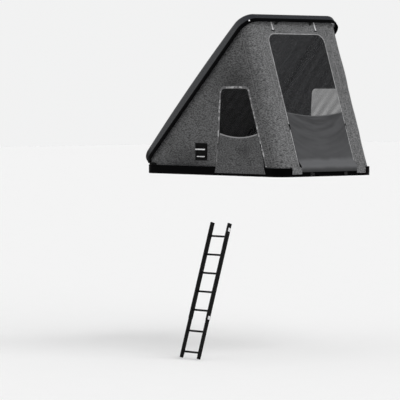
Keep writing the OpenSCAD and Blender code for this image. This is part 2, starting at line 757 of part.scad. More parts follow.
// Lowered flaps: cloth with a sagging upper edge, soft folds below it, and a skirt over the base
flap_rows = 8;
flap_cols = 14;
fold_depth = 9;
function fold(t, v) = fold_depth * sin(180 * t) * (0.5 - 0.5 * cos(900 * v)) * (1 - v);
module left_door_flap() {
    function edge(s, z) = let (w = (z - door_low_z) / (door_top_z - door_low_z))
        s == 0 ? door_sill_front + (door_top_front - door_sill_front) * w
               : door_sill_rear + (door_top_rear - door_sill_rear) * w;
    low = wall_z + fabric_t / 2;
    off = fabric_y + zip_t + 2 * fit;
    grid = [for (r = [0:flap_rows]) let (v = r / flap_rows) [for (c = [0:flap_cols]) let (
        t = c / flap_cols, z = (flap_z - flap_sag * sin(180 * t)) * (1 - v) + low * v,
        x = edge(0, z) * (1 - t) + edge(1, z) * t)
        [x, -off - fabric_t - fold(t, v), z]]];
    color("#4e5053") {
        cloth(grid, [0, fabric_t, 0]);
        translate([skirt_front, 0, 0]) rotate([-90, 0, -90]) linear_extrude(skirt_rear - skirt_front)
            skirt_section(fabric_y + fit + fabric_t, side_y - skirt_gap + 2, skirt_z);
    }
}
module right_door_flap() {
    right_copy() left_door_flap();
}
module rear_door_flap() {
    off = zip_t + 2 * fit;
    low = 0.5;
    grid = [for (r = [0:flap_rows]) let (v = r / flap_rows) [for (c = [0:flap_cols]) let (
        t = c / flap_cols, h = (rear_flap_v - rear_flap_sag * sin(180 * t)) * (1 - v) + low * v)
        [rear_door_half * (2 * t - 1), h, off + fabric_t + fold(t, v)]]];
    color("#4f5053") {
        rear_plane() cloth(grid, [0, 0, -fabric_t]);
        translate([0, -rear_door_half, 0]) rotate([-90, 0, 0]) linear_extrude(2 * rear_door_half)
            skirt_section(rear_foot_x + fit + fabric_t, rear_x, rear_flap_z);
    }
}

// Zip tapes run up one side of a door, over its top and down the other side
module zip_band(outline) {
    difference() {
        offset(delta = zip_w) polygon(outline);
        offset(delta = fit) polygon(outline);
        translate([-base_l, -base_l]) square([2 * base_l, base_l + outline[0][1] + fit]);
    }
}
module left_door_zip() {
    color("#8b8d90") left_plane() translate([0, 0, fit]) linear_extrude(zip_t) zip_band(side_door);
}
module right_door_zip() {
    right_copy() left_door_zip();
}
module rear_door_zip() {
    color("#8b8d90") rear_plane() translate([0, 0, fit]) linear_extrude(zip_t) zip_band(rear_door);
}

// Zip sliders, each on the lower straight run of its tape
slider_w = 12;
slider_l = 26;
slider_t = 5;
pull_l = 34;
slider_z = 330;
rear_slider_v = 470;
module slider() {
    translate([-slider_w / 2, -slider_l / 2, 0]) cube([slider_w, slider_l, slider_t]);
    translate([-slider_w / 4, -slider_l / 2 - pull_l, slider_t / 3])
        cube([slider_w / 2, pull_l + fuse, slider_t / 2]);
}
function run_angle(a, b) = atan2(b[0] - a[0], b[1] - a[1]);
front_run = run_angle(side_door[0], side_door[1]);
rear_run = run_angle(side_door[len(side_door) - 1], side_door[len(side_door) - 2]);
module side_slider(corner, turn, out) {
    x = corner[0] + (slider_z - corner[1]) * tan(turn) + out * zip_w / 2;
    color("#0d0d0e") left_plane() translate([x, slider_z, zip_t + 2 * fit]) rotate([0, 0, -turn]) slider();
}
module left_front_slider() {
    side_slider(side_door[0], front_run, -1);
}
module left_rear_slider() {
    side_slider(side_door[len(side_door) - 1], rear_run, 1);
}
module right_front_slider() {
    right_copy() left_front_slider();
}
module right_rear_slider() {
    right_copy() left_rear_slider();
}
module rear_slider(side) {
    y = side * (rear_door_half + zip_w / 2);
    color("#0d0d0e") rear_plane() translate([y, rear_slider_v, zip_t + 2 * fit]) slider();
}
module rear_left_slider() {
    rear_slider(-1);
}
module rear_right_slider() {
    rear_slider(1);
}

// Roll-up ties above the rear door, with a toggle bar at each end
tie_y = 312;
tie_w = 14;
tie_t = 2;
tie_l = 96;
toggle_r = 5;
toggle_l = 32;
tie_top = rear_wall_v - 4;
module rear_door_ties() {
    color("#b5b6b7") rear_plane() for (s = [-1, 1])
        translate([s * tie_y - tie_w / 2, tie_top - tie_l, fit]) cube([tie_w, tie_l, tie_t]);
}
module tie_toggles() {
    color("#1b1b1c") rear_plane() for (s = [-1, 1])
        translate([s * tie_y - toggle_l / 2, tie_top - tie_l - toggle_r, fit + toggle_r]) rotate([0, 90, 0])
            cylinder(r = toggle_r, h = toggle_l);
}

// Lashing patch on the left wall, with two bars to hang a bag from
patch_x = -258;
patch_z = 155;
patch_w = 188;
patch_h = 184;
patch_t = 3;
module lash_patch() {
    color("#0c0c0d") left_plane() translate([patch_x, patch_z, fit]) cube([patch_w, patch_h, patch_t]);
}
module lash_bars() {
    bar_r = 7;
    long_bar = 156;
    short_bar = 126;
    color("#d4d5d6") left_plane() for (b = [[6, 118, long_bar], [32, 41, short_bar]])
        translate([patch_x + b[0], patch_z + b[1], 2 * fit + patch_t + bar_r]) rotate([0, 90, 0])
            cylinder(r = bar_r, h = b[2]);
}

// Ladder

ladder_x = 518;
ladder_y = -1000;
ladder_z = -490;
upper_rungs = 5;
lower_rungs = 2;
// Frame of the ladder: origin at the middle of its top, Z up along the stiles, Y towards the tent
module ladder_pose() {
    translate([ladder_x, ladder_y, ladder_z]) rotate([-ladder_lean, 0, 0]) children();
}
module stile_pair() {
    for (s = [-1, 1]) translate([s * ladder_w / 2, 0, 0]) mirror([s > 0 ? 1 : 0, 0, 0]) children();
}
lower_w = stile_w - 2 * stile_t - 2 * fit;
lower_d = stile_d - 2 * stile_t - 2 * fit;
foot_h = 24;
// Upper stile: a tube in which the lower stile slides
module ladder_upper_stiles() {
    color("#0a0a0b") ladder_pose() stile_pair() difference() {
        translate([-stile_w / 2, -stile_d / 2, -upper_l]) cube([stile_w, stile_d, upper_l]);
        translate([-stile_w / 2 + stile_t, -stile_d / 2 + stile_t, -upper_l - fuse])
            cube([stile_w - 2 * stile_t, stile_d - 2 * stile_t, upper_l + 2 * fuse]);
    }
}
module ladder_upper_rungs() {
    length = ladder_w - stile_w - 2 * fit;
    color("#0a0a0b") ladder_pose() for (i = [0:upper_rungs - 1])
        translate([0, 0, -rung_first - rung_pitch * i]) rotate([0, 90, 0])
            cylinder(r = rung_r, h = length, center = true);
}
plug_h = 8;
module ladder_top_plugs() {
    color("#2c2c2e") ladder_pose() stile_pair() translate([-stile_w / 2, -stile_d / 2, fit])
        cube([stile_w, stile_d, plug_h]);
}
// Outer buttons: a lock at the foot and a bolt near the top of each upper stile
lock_r = 8;
lock_h = 6;
lock_low = 22;
lock_high = 60;
module ladder_locks() {
    color("#b4b5b6") ladder_pose() stile_pair() for (z = [-upper_l + lock_low, -lock_high])
        translate([-stile_w / 2 - fit, 0, z]) rotate([0, -90, 0]) cylinder(r = lock_r, h = lock_h);
}
module ladder_lower_stiles() {
    top = -upper_l + lower_lap;
    bottom = -ladder_l + foot_h;
    color("#0d0d0e") ladder_pose() stile_pair()
        translate([-lower_w / 2, -lower_d / 2, bottom]) cube([lower_w, lower_d, top - bottom]);
}
module ladder_lower_rungs() {
    length = ladder_w - lower_w - 2 * fit;
    first = rung_first + rung_pitch * (upper_rungs - 1);
    color("#0a0a0b") ladder_pose() for (i = [1:lower_rungs])
        translate([0, 0, -first - rung_pitch_low * i]) rotate([0, 90, 0])
            cylinder(r = rung_r, h = length, center = true);
}
module ladder_feet() {
    color("#151516") ladder_pose() stile_pair()
        translate([-lower_w / 2, -lower_d / 2, -ladder_l]) cube([lower_w, lower_d, foot_h]);
}

base_tray();
base_floor();
mounting_rails();
rail_rivets();
fabric_track();
mattress();
hinge_base_leaves();
hinge_pins();
strut_base_brackets();
left_wall();
right_wall();
rear_wall();
left_window_mesh();
right_window_mesh();
rear_door_mesh();
left_door_flap();
right_door_flap();
rear_door_flap();
left_door_zip();
right_door_zip();
rear_door_zip();
rear_door_ties();
tie_toggles();
lash_patch();
lash_bars();
latch_plates();
left_latch();
right_latch();
left_front_slider();
left_rear_slider();
right_front_slider();
right_rear_slider();
rear_left_slider();
rear_right_slider();
lid_shell();
lid_edge_trim();
lid_seal();
lid_frame();
lid_beam();
lid_liner();
lid_corner_bolts();
lid_keepers();
hinge_lid_leaves();
strut_lid_brackets();
left_strut_cylinder();
right_strut_cylinder();
left_strut_rod();
right_strut_rod();
ladder_upper_stiles();
ladder_upper_rungs();
ladder_top_plugs();
ladder_locks();
ladder_lower_stiles();
ladder_lower_rungs();
ladder_feet();
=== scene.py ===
import logging
import math
from dataclasses import dataclass
from enum import Enum
from functools import partial, partialmethod
from typing import Any, Callable, Optional, Sequence, Union

import bmesh
import bpy
from mathutils import Matrix, Vector, noise


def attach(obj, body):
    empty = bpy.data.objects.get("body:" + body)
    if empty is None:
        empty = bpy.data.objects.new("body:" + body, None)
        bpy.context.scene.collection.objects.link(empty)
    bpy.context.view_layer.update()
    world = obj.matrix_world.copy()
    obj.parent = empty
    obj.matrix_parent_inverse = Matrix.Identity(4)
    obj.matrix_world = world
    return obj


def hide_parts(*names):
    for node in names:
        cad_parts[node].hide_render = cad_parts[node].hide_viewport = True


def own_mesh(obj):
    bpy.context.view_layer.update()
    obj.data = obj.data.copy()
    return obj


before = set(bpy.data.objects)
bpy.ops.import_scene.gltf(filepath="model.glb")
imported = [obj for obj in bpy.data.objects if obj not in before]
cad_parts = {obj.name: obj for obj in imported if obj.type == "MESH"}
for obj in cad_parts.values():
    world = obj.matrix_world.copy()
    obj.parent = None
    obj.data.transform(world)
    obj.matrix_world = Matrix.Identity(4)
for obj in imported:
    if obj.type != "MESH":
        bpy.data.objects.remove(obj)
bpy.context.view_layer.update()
LOG = logging.getLogger("roof_tent")

Mesh = bmesh.types.BMesh
Material = bpy.types.Material
Piece = bpy.types.Object
Pair = tuple[float, float]
Triple = tuple[float, float, float]
Place = Callable[[float, float], Vector]
Measure = Callable[[float, float], Sequence[float]]

SIDES = (-1.0, 1.0)
UP = (0, 0, 1)
BLACK = (0.0, 0.0, 0.0)
TINY = 1e-6
FACING = 0.9
HARD_ANGLE = 38.0
SOFT_ANGLE = 60.0
FOLD_Z = 0.120
FOLD_KEEP = 0.004
CLOTH_T = 0.0014
TAPE_T = 0.0008
DOOR_GROW = 0.004
DOOR_REACH = 0.03
CALM_BORDER = 0.03
CALM_RAMP = 0.15
SMALL_SLACK = 0.35
PUFF_PRESSURE = 4.0
PUFF_FRAMES = 20
PUFF_QUALITY = 6
CLOUD_SHARE = 0.6


class Side(Enum):
    """The two long sides of the tent."""

    LEFT = -1.0
    RIGHT = 1.0

    @property
    def word(self) -> str:
        """Lower-case name, as it stands in the names of pieces."""
        return self.name.lower()


class Hold(Enum):
    """How a sheet of cloth is held."""

    HUNG = "hung"
    STRETCHED = "stretched"


class Slot(Enum):
    """Material slots of the record."""

    BASE = "base_black"
    LID = "lid_gloss"
    TRIM = "trim_black"
    WALL = "wall_canvas"
    FLAP = "flap_canvas"
    NET = "mesh_black"
    ZIP = "zip_grey"
    RUBBER = "patch_black"
    LIGHT = "light_grey"
    LADDER = "ladder_black"


# Shader graph


class Sock:
    """A shader socket whose arithmetic adds Math nodes to its graph."""

    def __init__(self, graph: "Graph", socket: Any) -> None:
        """Keeps the graph and the socket."""
        self.graph = graph
        self.socket = socket

    def math(self, operation: str, *others: Any) -> "Sock":
        """Adds one Math node on this socket and others, each a socket or a number."""
        return self.graph.node("ShaderNodeMath", {"operation": operation}, dict(enumerate((self, *others))))

    def __rsub__(self, other: float) -> "Sock":
        """Difference from a number."""
        return self.graph.node("ShaderNodeMath", {"operation": "SUBTRACT"}, {0: other, 1: self})

    __add__ = __radd__ = partialmethod(math, "ADD")
    __sub__ = partialmethod(math, "SUBTRACT")
    __mul__ = __rmul__ = partialmethod(math, "MULTIPLY")
    above = partialmethod(math, "GREATER_THAN")
    biggest = partialmethod(math, "MAXIMUM")
    fraction = partialmethod(math, "FRACT")
    size = partialmethod(math, "ABSOLUTE")
    exponent = partialmethod(math, "EXPONENT")


class Graph:
    """The nodes of one material or world."""

    def __init__(self, owner: Any) -> None:
        """Empties the owner's nodes.

        Args:
            owner: a material or world, or the name of a new material.
        """
        self.owner = bpy.data.materials.new(owner) if isinstance(owner, str) else owner
        self.owner.use_nodes = True
        self.tree = self.owner.node_tree
        self.tree.nodes.clear()

    def node(self, kind: str, settings: Optional[dict] = None, inputs: Optional[dict] = None,
             out: Any = 0) -> Sock:
        """Adds any node.

        Args:
            kind: the node's type.
            settings: its properties, which are set first.
            inputs: values or sockets by input name or number.
            out: name or number of the wanted output, or None where there is none.

        Returns:
            The wanted output.
        """
        made = self.tree.nodes.new(kind)
        for key, value in (settings or {}).items():
            setattr(made, key, value)
        for key, value in (inputs or {}).items():
            if isinstance(value, Sock):
                self.tree.links.new(value.socket, made.inputs[key])
            else:
                made.inputs[key].default_value = value
        return Sock(self, None if out is None else made.outputs[out])

    def place(self, scale: Sequence[float] = (1, 1, 1), uv: bool = False) -> Sock:
        """Object coordinates, or the piece's own cloth coordinates, scaled."""
        base = self.node("ShaderNodeTexCoord", out="UV" if uv else "Object")
        return self.node("ShaderNodeMapping", inputs={"Vector": base, "Scale": scale})

    def split(self, vector: Sock) -> list[Sock]:
        """The three parts of a vector."""
        parts = self.node("ShaderNodeSeparateXYZ", inputs={0: vector}).socket.node.outputs
        return [Sock(self, part) for part in parts]

    def speckle(self, scale: float, detail: float = 2.0, where: Optional[Sock] = None) -> Sock:
        """Noise value of a given scale on object coordinates or given ones."""
        return self.node("ShaderNodeTexNoise", inputs={
            "Vector": where or self.place(), "Scale": scale, "Detail": detail, "Roughness": 0.6})

    def wave(self, direction: str, where: Sock, **inputs: float) -> Sock:
        """Value of even bands in a direction, with inputs given by name."""
        settings = {"wave_type": "BANDS", "bands_direction": direction}
        return self.node("ShaderNodeTexWave", settings, {"Vector": where, **inputs}, out=1)

    def remap(self, value: Sock, span: Pair, ends: Pair = (0.0, 1.0), soft: bool = True) -> Sock:
        """Maps a span of a value to two ends, softly or straight."""
        return self.node(
            "ShaderNodeMapRange", {"interpolation_type": "SMOOTHSTEP" if soft else "LINEAR"},
            {"Value": value, "From Min": span[0], "From Max": span[1], "To Min": ends[0], "To Max": ends[1]})

    def tint(self, share: Any, low: Any, high: Any) -> Sock:
        """Colour between two ends, each a colour or a socket, by a share."""
        ends = [end if isinstance(end, Sock) else (*end, 1.0) for end in (low, high)]
        return self.node("ShaderNodeMix", {"data_type": "RGBA"}, {0: share, 6: ends[0], 7: ends[1]}, out=2)

    def tones(self, share: Any, colour: Triple, low: float, high: float) -> Sock:
        """Colour between a darker and a lighter tone of itself by a share."""
        return self.tint(share, shade(colour, low), shade(colour, high))

    def bump(self, height: Sock, strength: float, depth: float) -> Sock:
        """Normal from a height value."""
        return self.node("ShaderNodeBump", inputs={
            "Height": height, "Strength": strength, "Distance": depth})

    def surface(self, **inputs: Any) -> Sock:
        """Principled surface with inputs given by name, with underscores for blanks."""
        return self.node("ShaderNodeBsdfPrincipled",
                         inputs={k.replace("_", " "): v for k, v in inputs.items()})

    def mix(self, share: Sock, first: Sock, second: Sock) -> Sock:
        """Mixes two shaders by a share."""
        return self.node("ShaderNodeMixShader", inputs={0: share, 1: first, 2: second})

    def close(self, shader: Sock, kind: str = "ShaderNodeOutputMaterial") -> Any:
        """Links a shader to the output and returns the owner."""
        self.node(kind, inputs={"Surface": shader}, out=None)
        return self.owner


def shade(colour: Triple, factor: float) -> Triple:
    """Colour times a factor."""
    return tuple(min(c * factor, 1.0) for c in colour)


def cloudy(cloud: Sock, fine: Sock) -> Sock:
    """Broad clouds mixed with a fine grain."""
    return cloud * CLOUD_SHARE + fine * (1.0 - CLOUD_SHARE)


def sway(middle: float, *waves: tuple[Sock, float]) -> Sock:
    """Value that noises sway round its middle, each by its own width."""
    return sum((wave * width for wave, width in waves), middle - sum(width for _, width in waves) / 2.0)


@dataclass(frozen=True)
class Canvas:
    """Mottled woven canvas with dark and light yarns, with painted shade in the hollow places where the
    cloth is drawn in.

    Each painted hollow gives its place along and up, its two radii and the share of light that its painted
    shade takes.
    """

    name: str
    colour: Triple
    contrast: float = 1.0
    painted_shade_hollows: tuple[tuple[float, ...], ...] = ()
    mottle: float = 94.0
    mottle_form: Triple = (0.55, 0.55, 1.3)
    yarn: float = 430.0
    slub: float = 270.0
    slub_form: Triple = (0.17, 0.17, 1.0)
    shares: Triple = (0.46, 0.12, 0.42)
    edges: Pair = (0.41, 0.59)
    depth: float = 0.8
    stain: float = 2.4
    stain_tones: Pair = (0.8, 1.2)
    stain_share: float = 0.18
    relief: float = 0.6
    rough: float = 0.92
    smoother: float = 0.1

    def make(self) -> Material:
        """Builds the material.

        Returns:
            The material.
        """
        g = Graph(self.name)
        mottle = g.speckle(self.mottle, detail=1.0, where=g.place(self.mottle_form))
        yarn = g.speckle(self.yarn)
        slub = g.speckle(self.slub, detail=1.0, where=g.place(self.slub_form))
        mix = mottle * self.shares[0] + yarn * self.shares[1] + slub * self.shares[2]
        swing = self.contrast * self.depth
        weave = g.tones(g.remap(mix, self.edges, soft=False), self.colour, 1.0 - swing, 1.0 + swing)
        stain = g.tones(g.speckle(self.stain, detail=3.0), self.colour, *self.stain_tones)
        colour = g.tint(self.stain_share, weave, stain)
        # Painted shade: each hollow darkens the colour towards black in a soft round spot.
        if self.painted_shade_hollows:
            along, _, up = g.split(g.place())
            painted_darkening: Any = 0.0
            for x, z, wide, high, depth in self.painted_shade_hollows:
                a, b = (along - x) * (1.0 / wide), (up - z) * (1.0 / high)
                painted_darkening = painted_darkening + ((a * a + b * b) * -1.0).exponent() * depth
            colour = g.tint(painted_darkening, colour, BLACK)
        relief = g.bump((yarn + slub) * self.relief, strength=0.35, depth=0.0012)
        return g.close(g.surface(Base_Color=colour, Roughness=self.rough - mottle * self.smoother,
                                 Specular_IOR_Level=0.25, Sheen_Weight=0.08, Normal=relief))


@dataclass(frozen=True)
class CoatedCloth:
    """Smooth coated cloth with a faint rib, a painted highlight along its bend and painted shade towards its
    lower edge, where it turns under.

    A hung flap also has painted shade in the hollow parts of soft folds, which dip between its upper corners
    and fade downwards.
    """

    name: str
    colour: Triple
    bend_highlight: float = 0.0
    lower_shade: float = 1.0
    folds: float = 0.0
    cloud: float = 7.0
    fine: float = 260.0
    tones: Pair = (0.8, 1.22)
    crease: float = 0.140
    bend: Pair = (0.016, 0.070)
    highlight_tone: float = 2.0
    wander: float = 0.05
    wander_size: float = 6.0
    lower_edge: Pair = (0.045, 0.098)
    cut: float = 0.81
    dip: float = 0.13
    fold_form: Pair = (1.6, 13.0)
    fold_edges: Pair = (0.36, 0.64)
    fold_fade: Pair = (0.12, 0.45)
    fold_left: float = 0.35
    rough: float = 0.62
    rougher: float = 0.12
    relief: Pair = (0.7, 0.3)

    def painted_fold_shade(self, g: Graph) -> Sock:
        """Painted shade of folds that hang between the flap's upper corners.

        Args:
            g: the material's nodes.

        Returns:
            A share of painted shade that is nought on the crests and more in the hollow parts.
        """
        across, down, _ = g.split(g.place(uv=True))
        share = across * (1.0 / self.cut)
        level = down - share * (1.0 - share) * (4.0 * self.dip)
        where = g.node("ShaderNodeCombineXYZ", inputs={
            0: share * self.fold_form[0], 1: level * self.fold_form[1]})
        hollow = g.remap(g.speckle(1.0, where=where), self.fold_edges)
        return hollow * g.remap(down, self.fold_fade, (self.folds, self.folds * self.fold_left), soft=False)

    def make(self) -> Material:
        """Builds the material.

        Returns:
            The material.
        """
        g = Graph(self.name)
        fine = g.speckle(self.fine)
        rib = g.wave("Z", g.place(), Scale=38.0, Distortion=1.5, Detail=2.0)
        colour = g.tones(cloudy(g.speckle(self.cloud, detail=3.0), fine), self.colour, *self.tones)
        # Painted shade in the hollow parts of the sag folds.
        if self.folds > 0.0:
            colour = g.tint(self.painted_fold_shade(g), colour, BLACK)
        height = g.split(g.place())[2]
        # Painted highlight: a paler strip along the bend, where light catches the fold.
        wave = (g.speckle(self.wander_size, detail=1.0) - 0.5) * self.wander
        highlight_share = g.remap((height + wave - self.crease).size(), self.bend, (self.bend_highlight, 0.0))
        colour = g.tint(highlight_share, colour, shade(self.colour, self.highlight_tone))
        # Painted shade: darker towards the lower edge, where the flap turns under.
        if self.lower_shade < 1.0:
            unshaded = g.remap(height, self.lower_edge, soft=False)
            colour = g.tint(unshaded, shade(self.colour, self.lower_shade), colour)
        relief = g.bump(fine * self.relief[0] + rib * self.relief[1], strength=0.22, depth=0.001)
        return g.close(g.surface(Base_Color=colour, Roughness=self.rough + fine * self.rougher,
                                 Specular_IOR_Level=0.35, Normal=relief))


@dataclass(frozen=True)
class Net:
    """Fine insect mesh, part open, with faint ripples where its threads cross what is behind."""

    name: str
    colour: Triple
    pitch: float = 0.0018
    thread: float = 0.3
    cover: float = 0.36
    thread_share: float = 0.2
    ripple_share: float = 0.13
    ripple_form: Triple = (1.0, -1.0, 0.0)
    fine: float = 300.0
    tones: Pair = (0.7, 1.3)
    rough: float = 0.7
    rougher: float = 0.15

    def make(self) -> Material:
        """Builds the material: threads across and along the cloth, clear between them.

        Returns:
            The material.
        """
        g = Graph(self.name)
        across, along, _ = g.split(g.place((1.0 / self.pitch, 1.0 / self.pitch, 1.0), uv=True))
        gap = 1.0 - self.thread
        solid = across.fraction().above(gap).biggest(along.fraction().above(gap))
        ripple = g.wave("DIAGONAL", g.place(self.ripple_form, uv=True),
                        Scale=4.2, Distortion=1.6, Detail=0.0)
        fine = g.speckle(self.fine)
        cloth = g.surface(Base_Color=g.tones(fine, self.colour, *self.tones),
                          Roughness=self.rough + fine * self.rougher, Specular_IOR_Level=0.1)
        share = solid * self.thread_share + ripple * self.ripple_share + self.cover
        return g.close(g.mix(share, g.node("ShaderNodeBsdfTransparent"), cloth))


@dataclass(frozen=True)
class Paint:
    """Satin coat on metal or moulded plastic, with a fine grain and patches of wear."""

    name: str
    colour: Triple
    rough: float = 0.45
    grain: float = 900.0
    metal: float = 0.0
    spread: float = 0.3
    shine: float = 0.5
    cloud: float = 5.0
    cloud_sway: float = 0.16
    fine_sway: float = 0.06

    def make(self) -> Material:
        """Builds the material.

        Returns:
            The material.
        """
        g = Graph(self.name)
        cloud = g.speckle(self.cloud, detail=4.0)
        fine = g.speckle(self.grain)
        colour = g.tones(cloudy(cloud, fine), self.colour, 1.0 - self.spread, 1.0 + self.spread)
        return g.close(g.surface(
            Base_Color=colour, Metallic=self.metal, Specular_IOR_Level=self.shine,
            Roughness=sway(self.rough, (cloud, self.cloud_sway), (fine, self.fine_sway)),
            Normal=g.bump(fine, strength=0.25, depth=0.0003)))


@dataclass(frozen=True)
class GlossShell:
    """Gloss coat with fine ripple that turns matt and darker towards the nose, as painted shade where its
    reflection falls away.
    """

    name: str
    colour: Triple
    rough: float = 0.27
    cloud: float = 4.0
    cloud_sway: float = 0.12
    ripple: float = 160.0
    scuff: float = 38.0
    scuff_form: Triple = (1.0, 0.15, 1.0)
    scuff_sway: float = 0.08
    tones: Pair = (0.75, 1.25)
    nose: Pair = (-1.045, -0.93)
    nose_shade_tone: float = 0.15
    nose_rough: float = 0.6
    nose_sway: float = 0.2

    def make(self) -> Material:
        """Builds the material.

        Returns:
            The material.
        """
        g = Graph(self.name)
        cloud = g.speckle(self.cloud, detail=4.0)
        ripple = g.speckle(self.ripple)
        scuff = g.speckle(self.scuff, detail=5.0, where=g.place(self.scuff_form))
        gloss = g.surface(
            Base_Color=g.tones(cloud, self.colour, *self.tones), Specular_IOR_Level=0.55,
            Roughness=sway(self.rough, (cloud, self.cloud_sway), (scuff, self.scuff_sway)),
            Normal=g.bump(ripple, strength=0.2, depth=0.0002))
        # Painted shade: matt and darker towards the nose, where the reflection falls away.
        matt = g.surface(
            Base_Color=(*shade(self.colour, self.nose_shade_tone), 1.0), Specular_IOR_Level=0.06,
            Roughness=sway(self.nose_rough, (ripple, self.nose_sway)))
        return g.close(g.mix(g.remap(g.split(g.place())[0], self.nose), matt, gloss))


@dataclass(frozen=True)
class ZipTape:
    """Woven tape with a row of teeth, patterned along its own length, with bright patches that are painted
    glints.
    """

    name: str
    tape: Triple
    teeth: Triple
    pitch: float = 0.004
    gap: float = 0.45
    row: float = 0.22
    row_share: float = 0.6
    patch: float = 24.0
    glint_from: float = 0.45
    glint_edge: float = 0.1
    fine: float = 350.0
    tape_tones: Pair = (0.75, 1.25)
    teeth_tones: Pair = (0.7, 1.15)
    relief: float = 0.3
    rough: float = 0.6
    rougher: float = 0.2

    def make(self) -> Material:
        """Builds the material.

        Returns:
            The material.
        """
        g = Graph(self.name)
        across, along, _ = g.split(g.place(uv=True))
        tooth = (along * (1.0 / self.pitch)).fraction().above(self.gap)
        row = 1.0 - (across - 0.5).size().above(self.row)
        # Painted highlight: bright patches where light glints on the tape's puckers and teeth.
        patch = g.remap(g.speckle(self.patch, detail=1.0), (self.glint_from, self.glint_from + self.glint_edge))
        fine = g.speckle(self.fine)
        tape = g.tones(fine, self.tape, *self.tape_tones)
        bright = g.tones(tooth, self.teeth, *self.teeth_tones)
        colour = g.tint(patch * (row * self.row_share + (1.0 - self.row_share)), tape, bright)
        relief = g.bump(tooth * row + fine * self.relief, strength=0.4, depth=0.001)
        return g.close(g.surface(Base_Color=colour, Roughness=self.rough + fine * self.rougher,
                                 Normal=relief))


@dataclass(frozen=True)
class Board:
    """Faced wooden board with a long grain."""

    name: str
    colour: Triple
    grain: float = 14.0
    grain_form: Triple = (0.25, 6.0, 6.0)
    tones: Pair = (0.7, 1.25)
    rough: float = 0.5
    rougher: float = 0.2

    def make(self) -> Material:
        """Builds the material.

        Returns:
            The material.
        """
        g = Graph(self.name)
        grain = g.speckle(self.grain, detail=5.0, where=g.place(self.grain_form))
        return g.close(g.surface(Base_Color=g.tones(grain, self.colour, *self.tones),
                                 Roughness=self.rough + grain * self.rougher,
                                 Normal=g.bump(grain, strength=0.2, depth=0.0006)))


class Finishes:
    """Every finish of the tent, made once."""

    def __init__(self) -> None:
        """Makes the materials."""
        # Painted shade in the canvas: over the side door and at the foot of the walls; in the side flap, in
        # a dent.
        self.canvas = Canvas("wall_canvas", (0.090, 0.0905, 0.092), painted_shade_hollows=(
            (0.35, 0.98, 0.27, 0.20, 0.57), (-0.40, 0.10, 0.36, 0.20, 0.52))).make()
        self.flap = Canvas("flap_canvas", (0.076, 0.0765, 0.078), painted_shade_hollows=(
            (0.53, 0.265, 0.075, 0.055, 0.38),)).make()
        # Rear flap: painted highlight along its bend, painted shade towards its lower edge and in its fold
        # hollows.
        self.rear_flap = CoatedCloth("coated_flap", (0.047, 0.0476, 0.0498), bend_highlight=0.75, lower_shade=0.25,
                                     folds=0.40).make()
        self.hem = CoatedCloth("side_flap_hem", (0.27, 0.271, 0.274)).make()
        self.rear_hem = CoatedCloth("rear_flap_hem", (0.085, 0.086, 0.088)).make()
        # One insect net in two tones: the rear copy is painted lighter for the light that falls on the rear
        # wall.
        self.net = Net("insect_net", (0.011, 0.011, 0.0116)).make()
        self.rear_net = Net("rear_insect_net_painted_lit", (0.032, 0.0325, 0.034)).make()
        self.shell = GlossShell("shell_gloss", (0.009, 0.0105, 0.0142)).make()
        self.trim = Paint("trim_black", (0.0010, 0.0010, 0.0012), rough=0.5, shine=0.02).make()
        self.base = Paint("base_black", (0.0008, 0.0008, 0.0009), rough=0.45, shine=0.015).make()
        self.hardware = Paint("hardware_black", (0.006, 0.006, 0.0063), rough=0.42, shine=0.2).make()
        self.ladder = Paint("ladder_black", (0.0022, 0.0022, 0.0023), rough=0.4, shine=0.12).make()
        self.alloy = Paint("anodised_alloy", (0.30, 0.30, 0.31), rough=0.38, metal=0.9).make()
        self.steel = Paint("ground_steel", (0.62, 0.63, 0.64), rough=0.22, metal=1.0, spread=0.08).make()
        self.rubber = Paint("rubber_black", (0.003, 0.003, 0.003), rough=0.8, grain=500.0, shine=0.08).make()
        self.light = Paint("light_plastic", (0.72, 0.72, 0.73), rough=0.42, spread=0.06).make()
        self.button = Paint("grey_button", (0.52, 0.52, 0.53), rough=0.4, spread=0.1).make()
        self.zip = ZipTape("side_zip", (0.115, 0.115, 0.118), (0.46, 0.46, 0.465), glint_from=0.5).make()
        self.piping = ZipTape("rear_piping", (0.22, 0.22, 0.224), (0.36, 0.36, 0.365)).make()
        self.seam = ZipTape("stitched_seam", (0.10, 0.10, 0.102), (0.18, 0.18, 0.183), pitch=0.012).make()
        self.webbing = ZipTape("tie_webbing", (0.36, 0.36, 0.365), (0.52, 0.52, 0.53), pitch=0.006).make()
        self.ticking = Canvas("mattress_ticking", (0.17, 0.172, 0.178), contrast=0.35).make()
        self.quilt = Canvas("head_lining", (0.10, 0.101, 0.104), contrast=0.4).make()
        self.board = Board("floor_board", (0.30, 0.235, 0.16)).make()


# Places of the tent


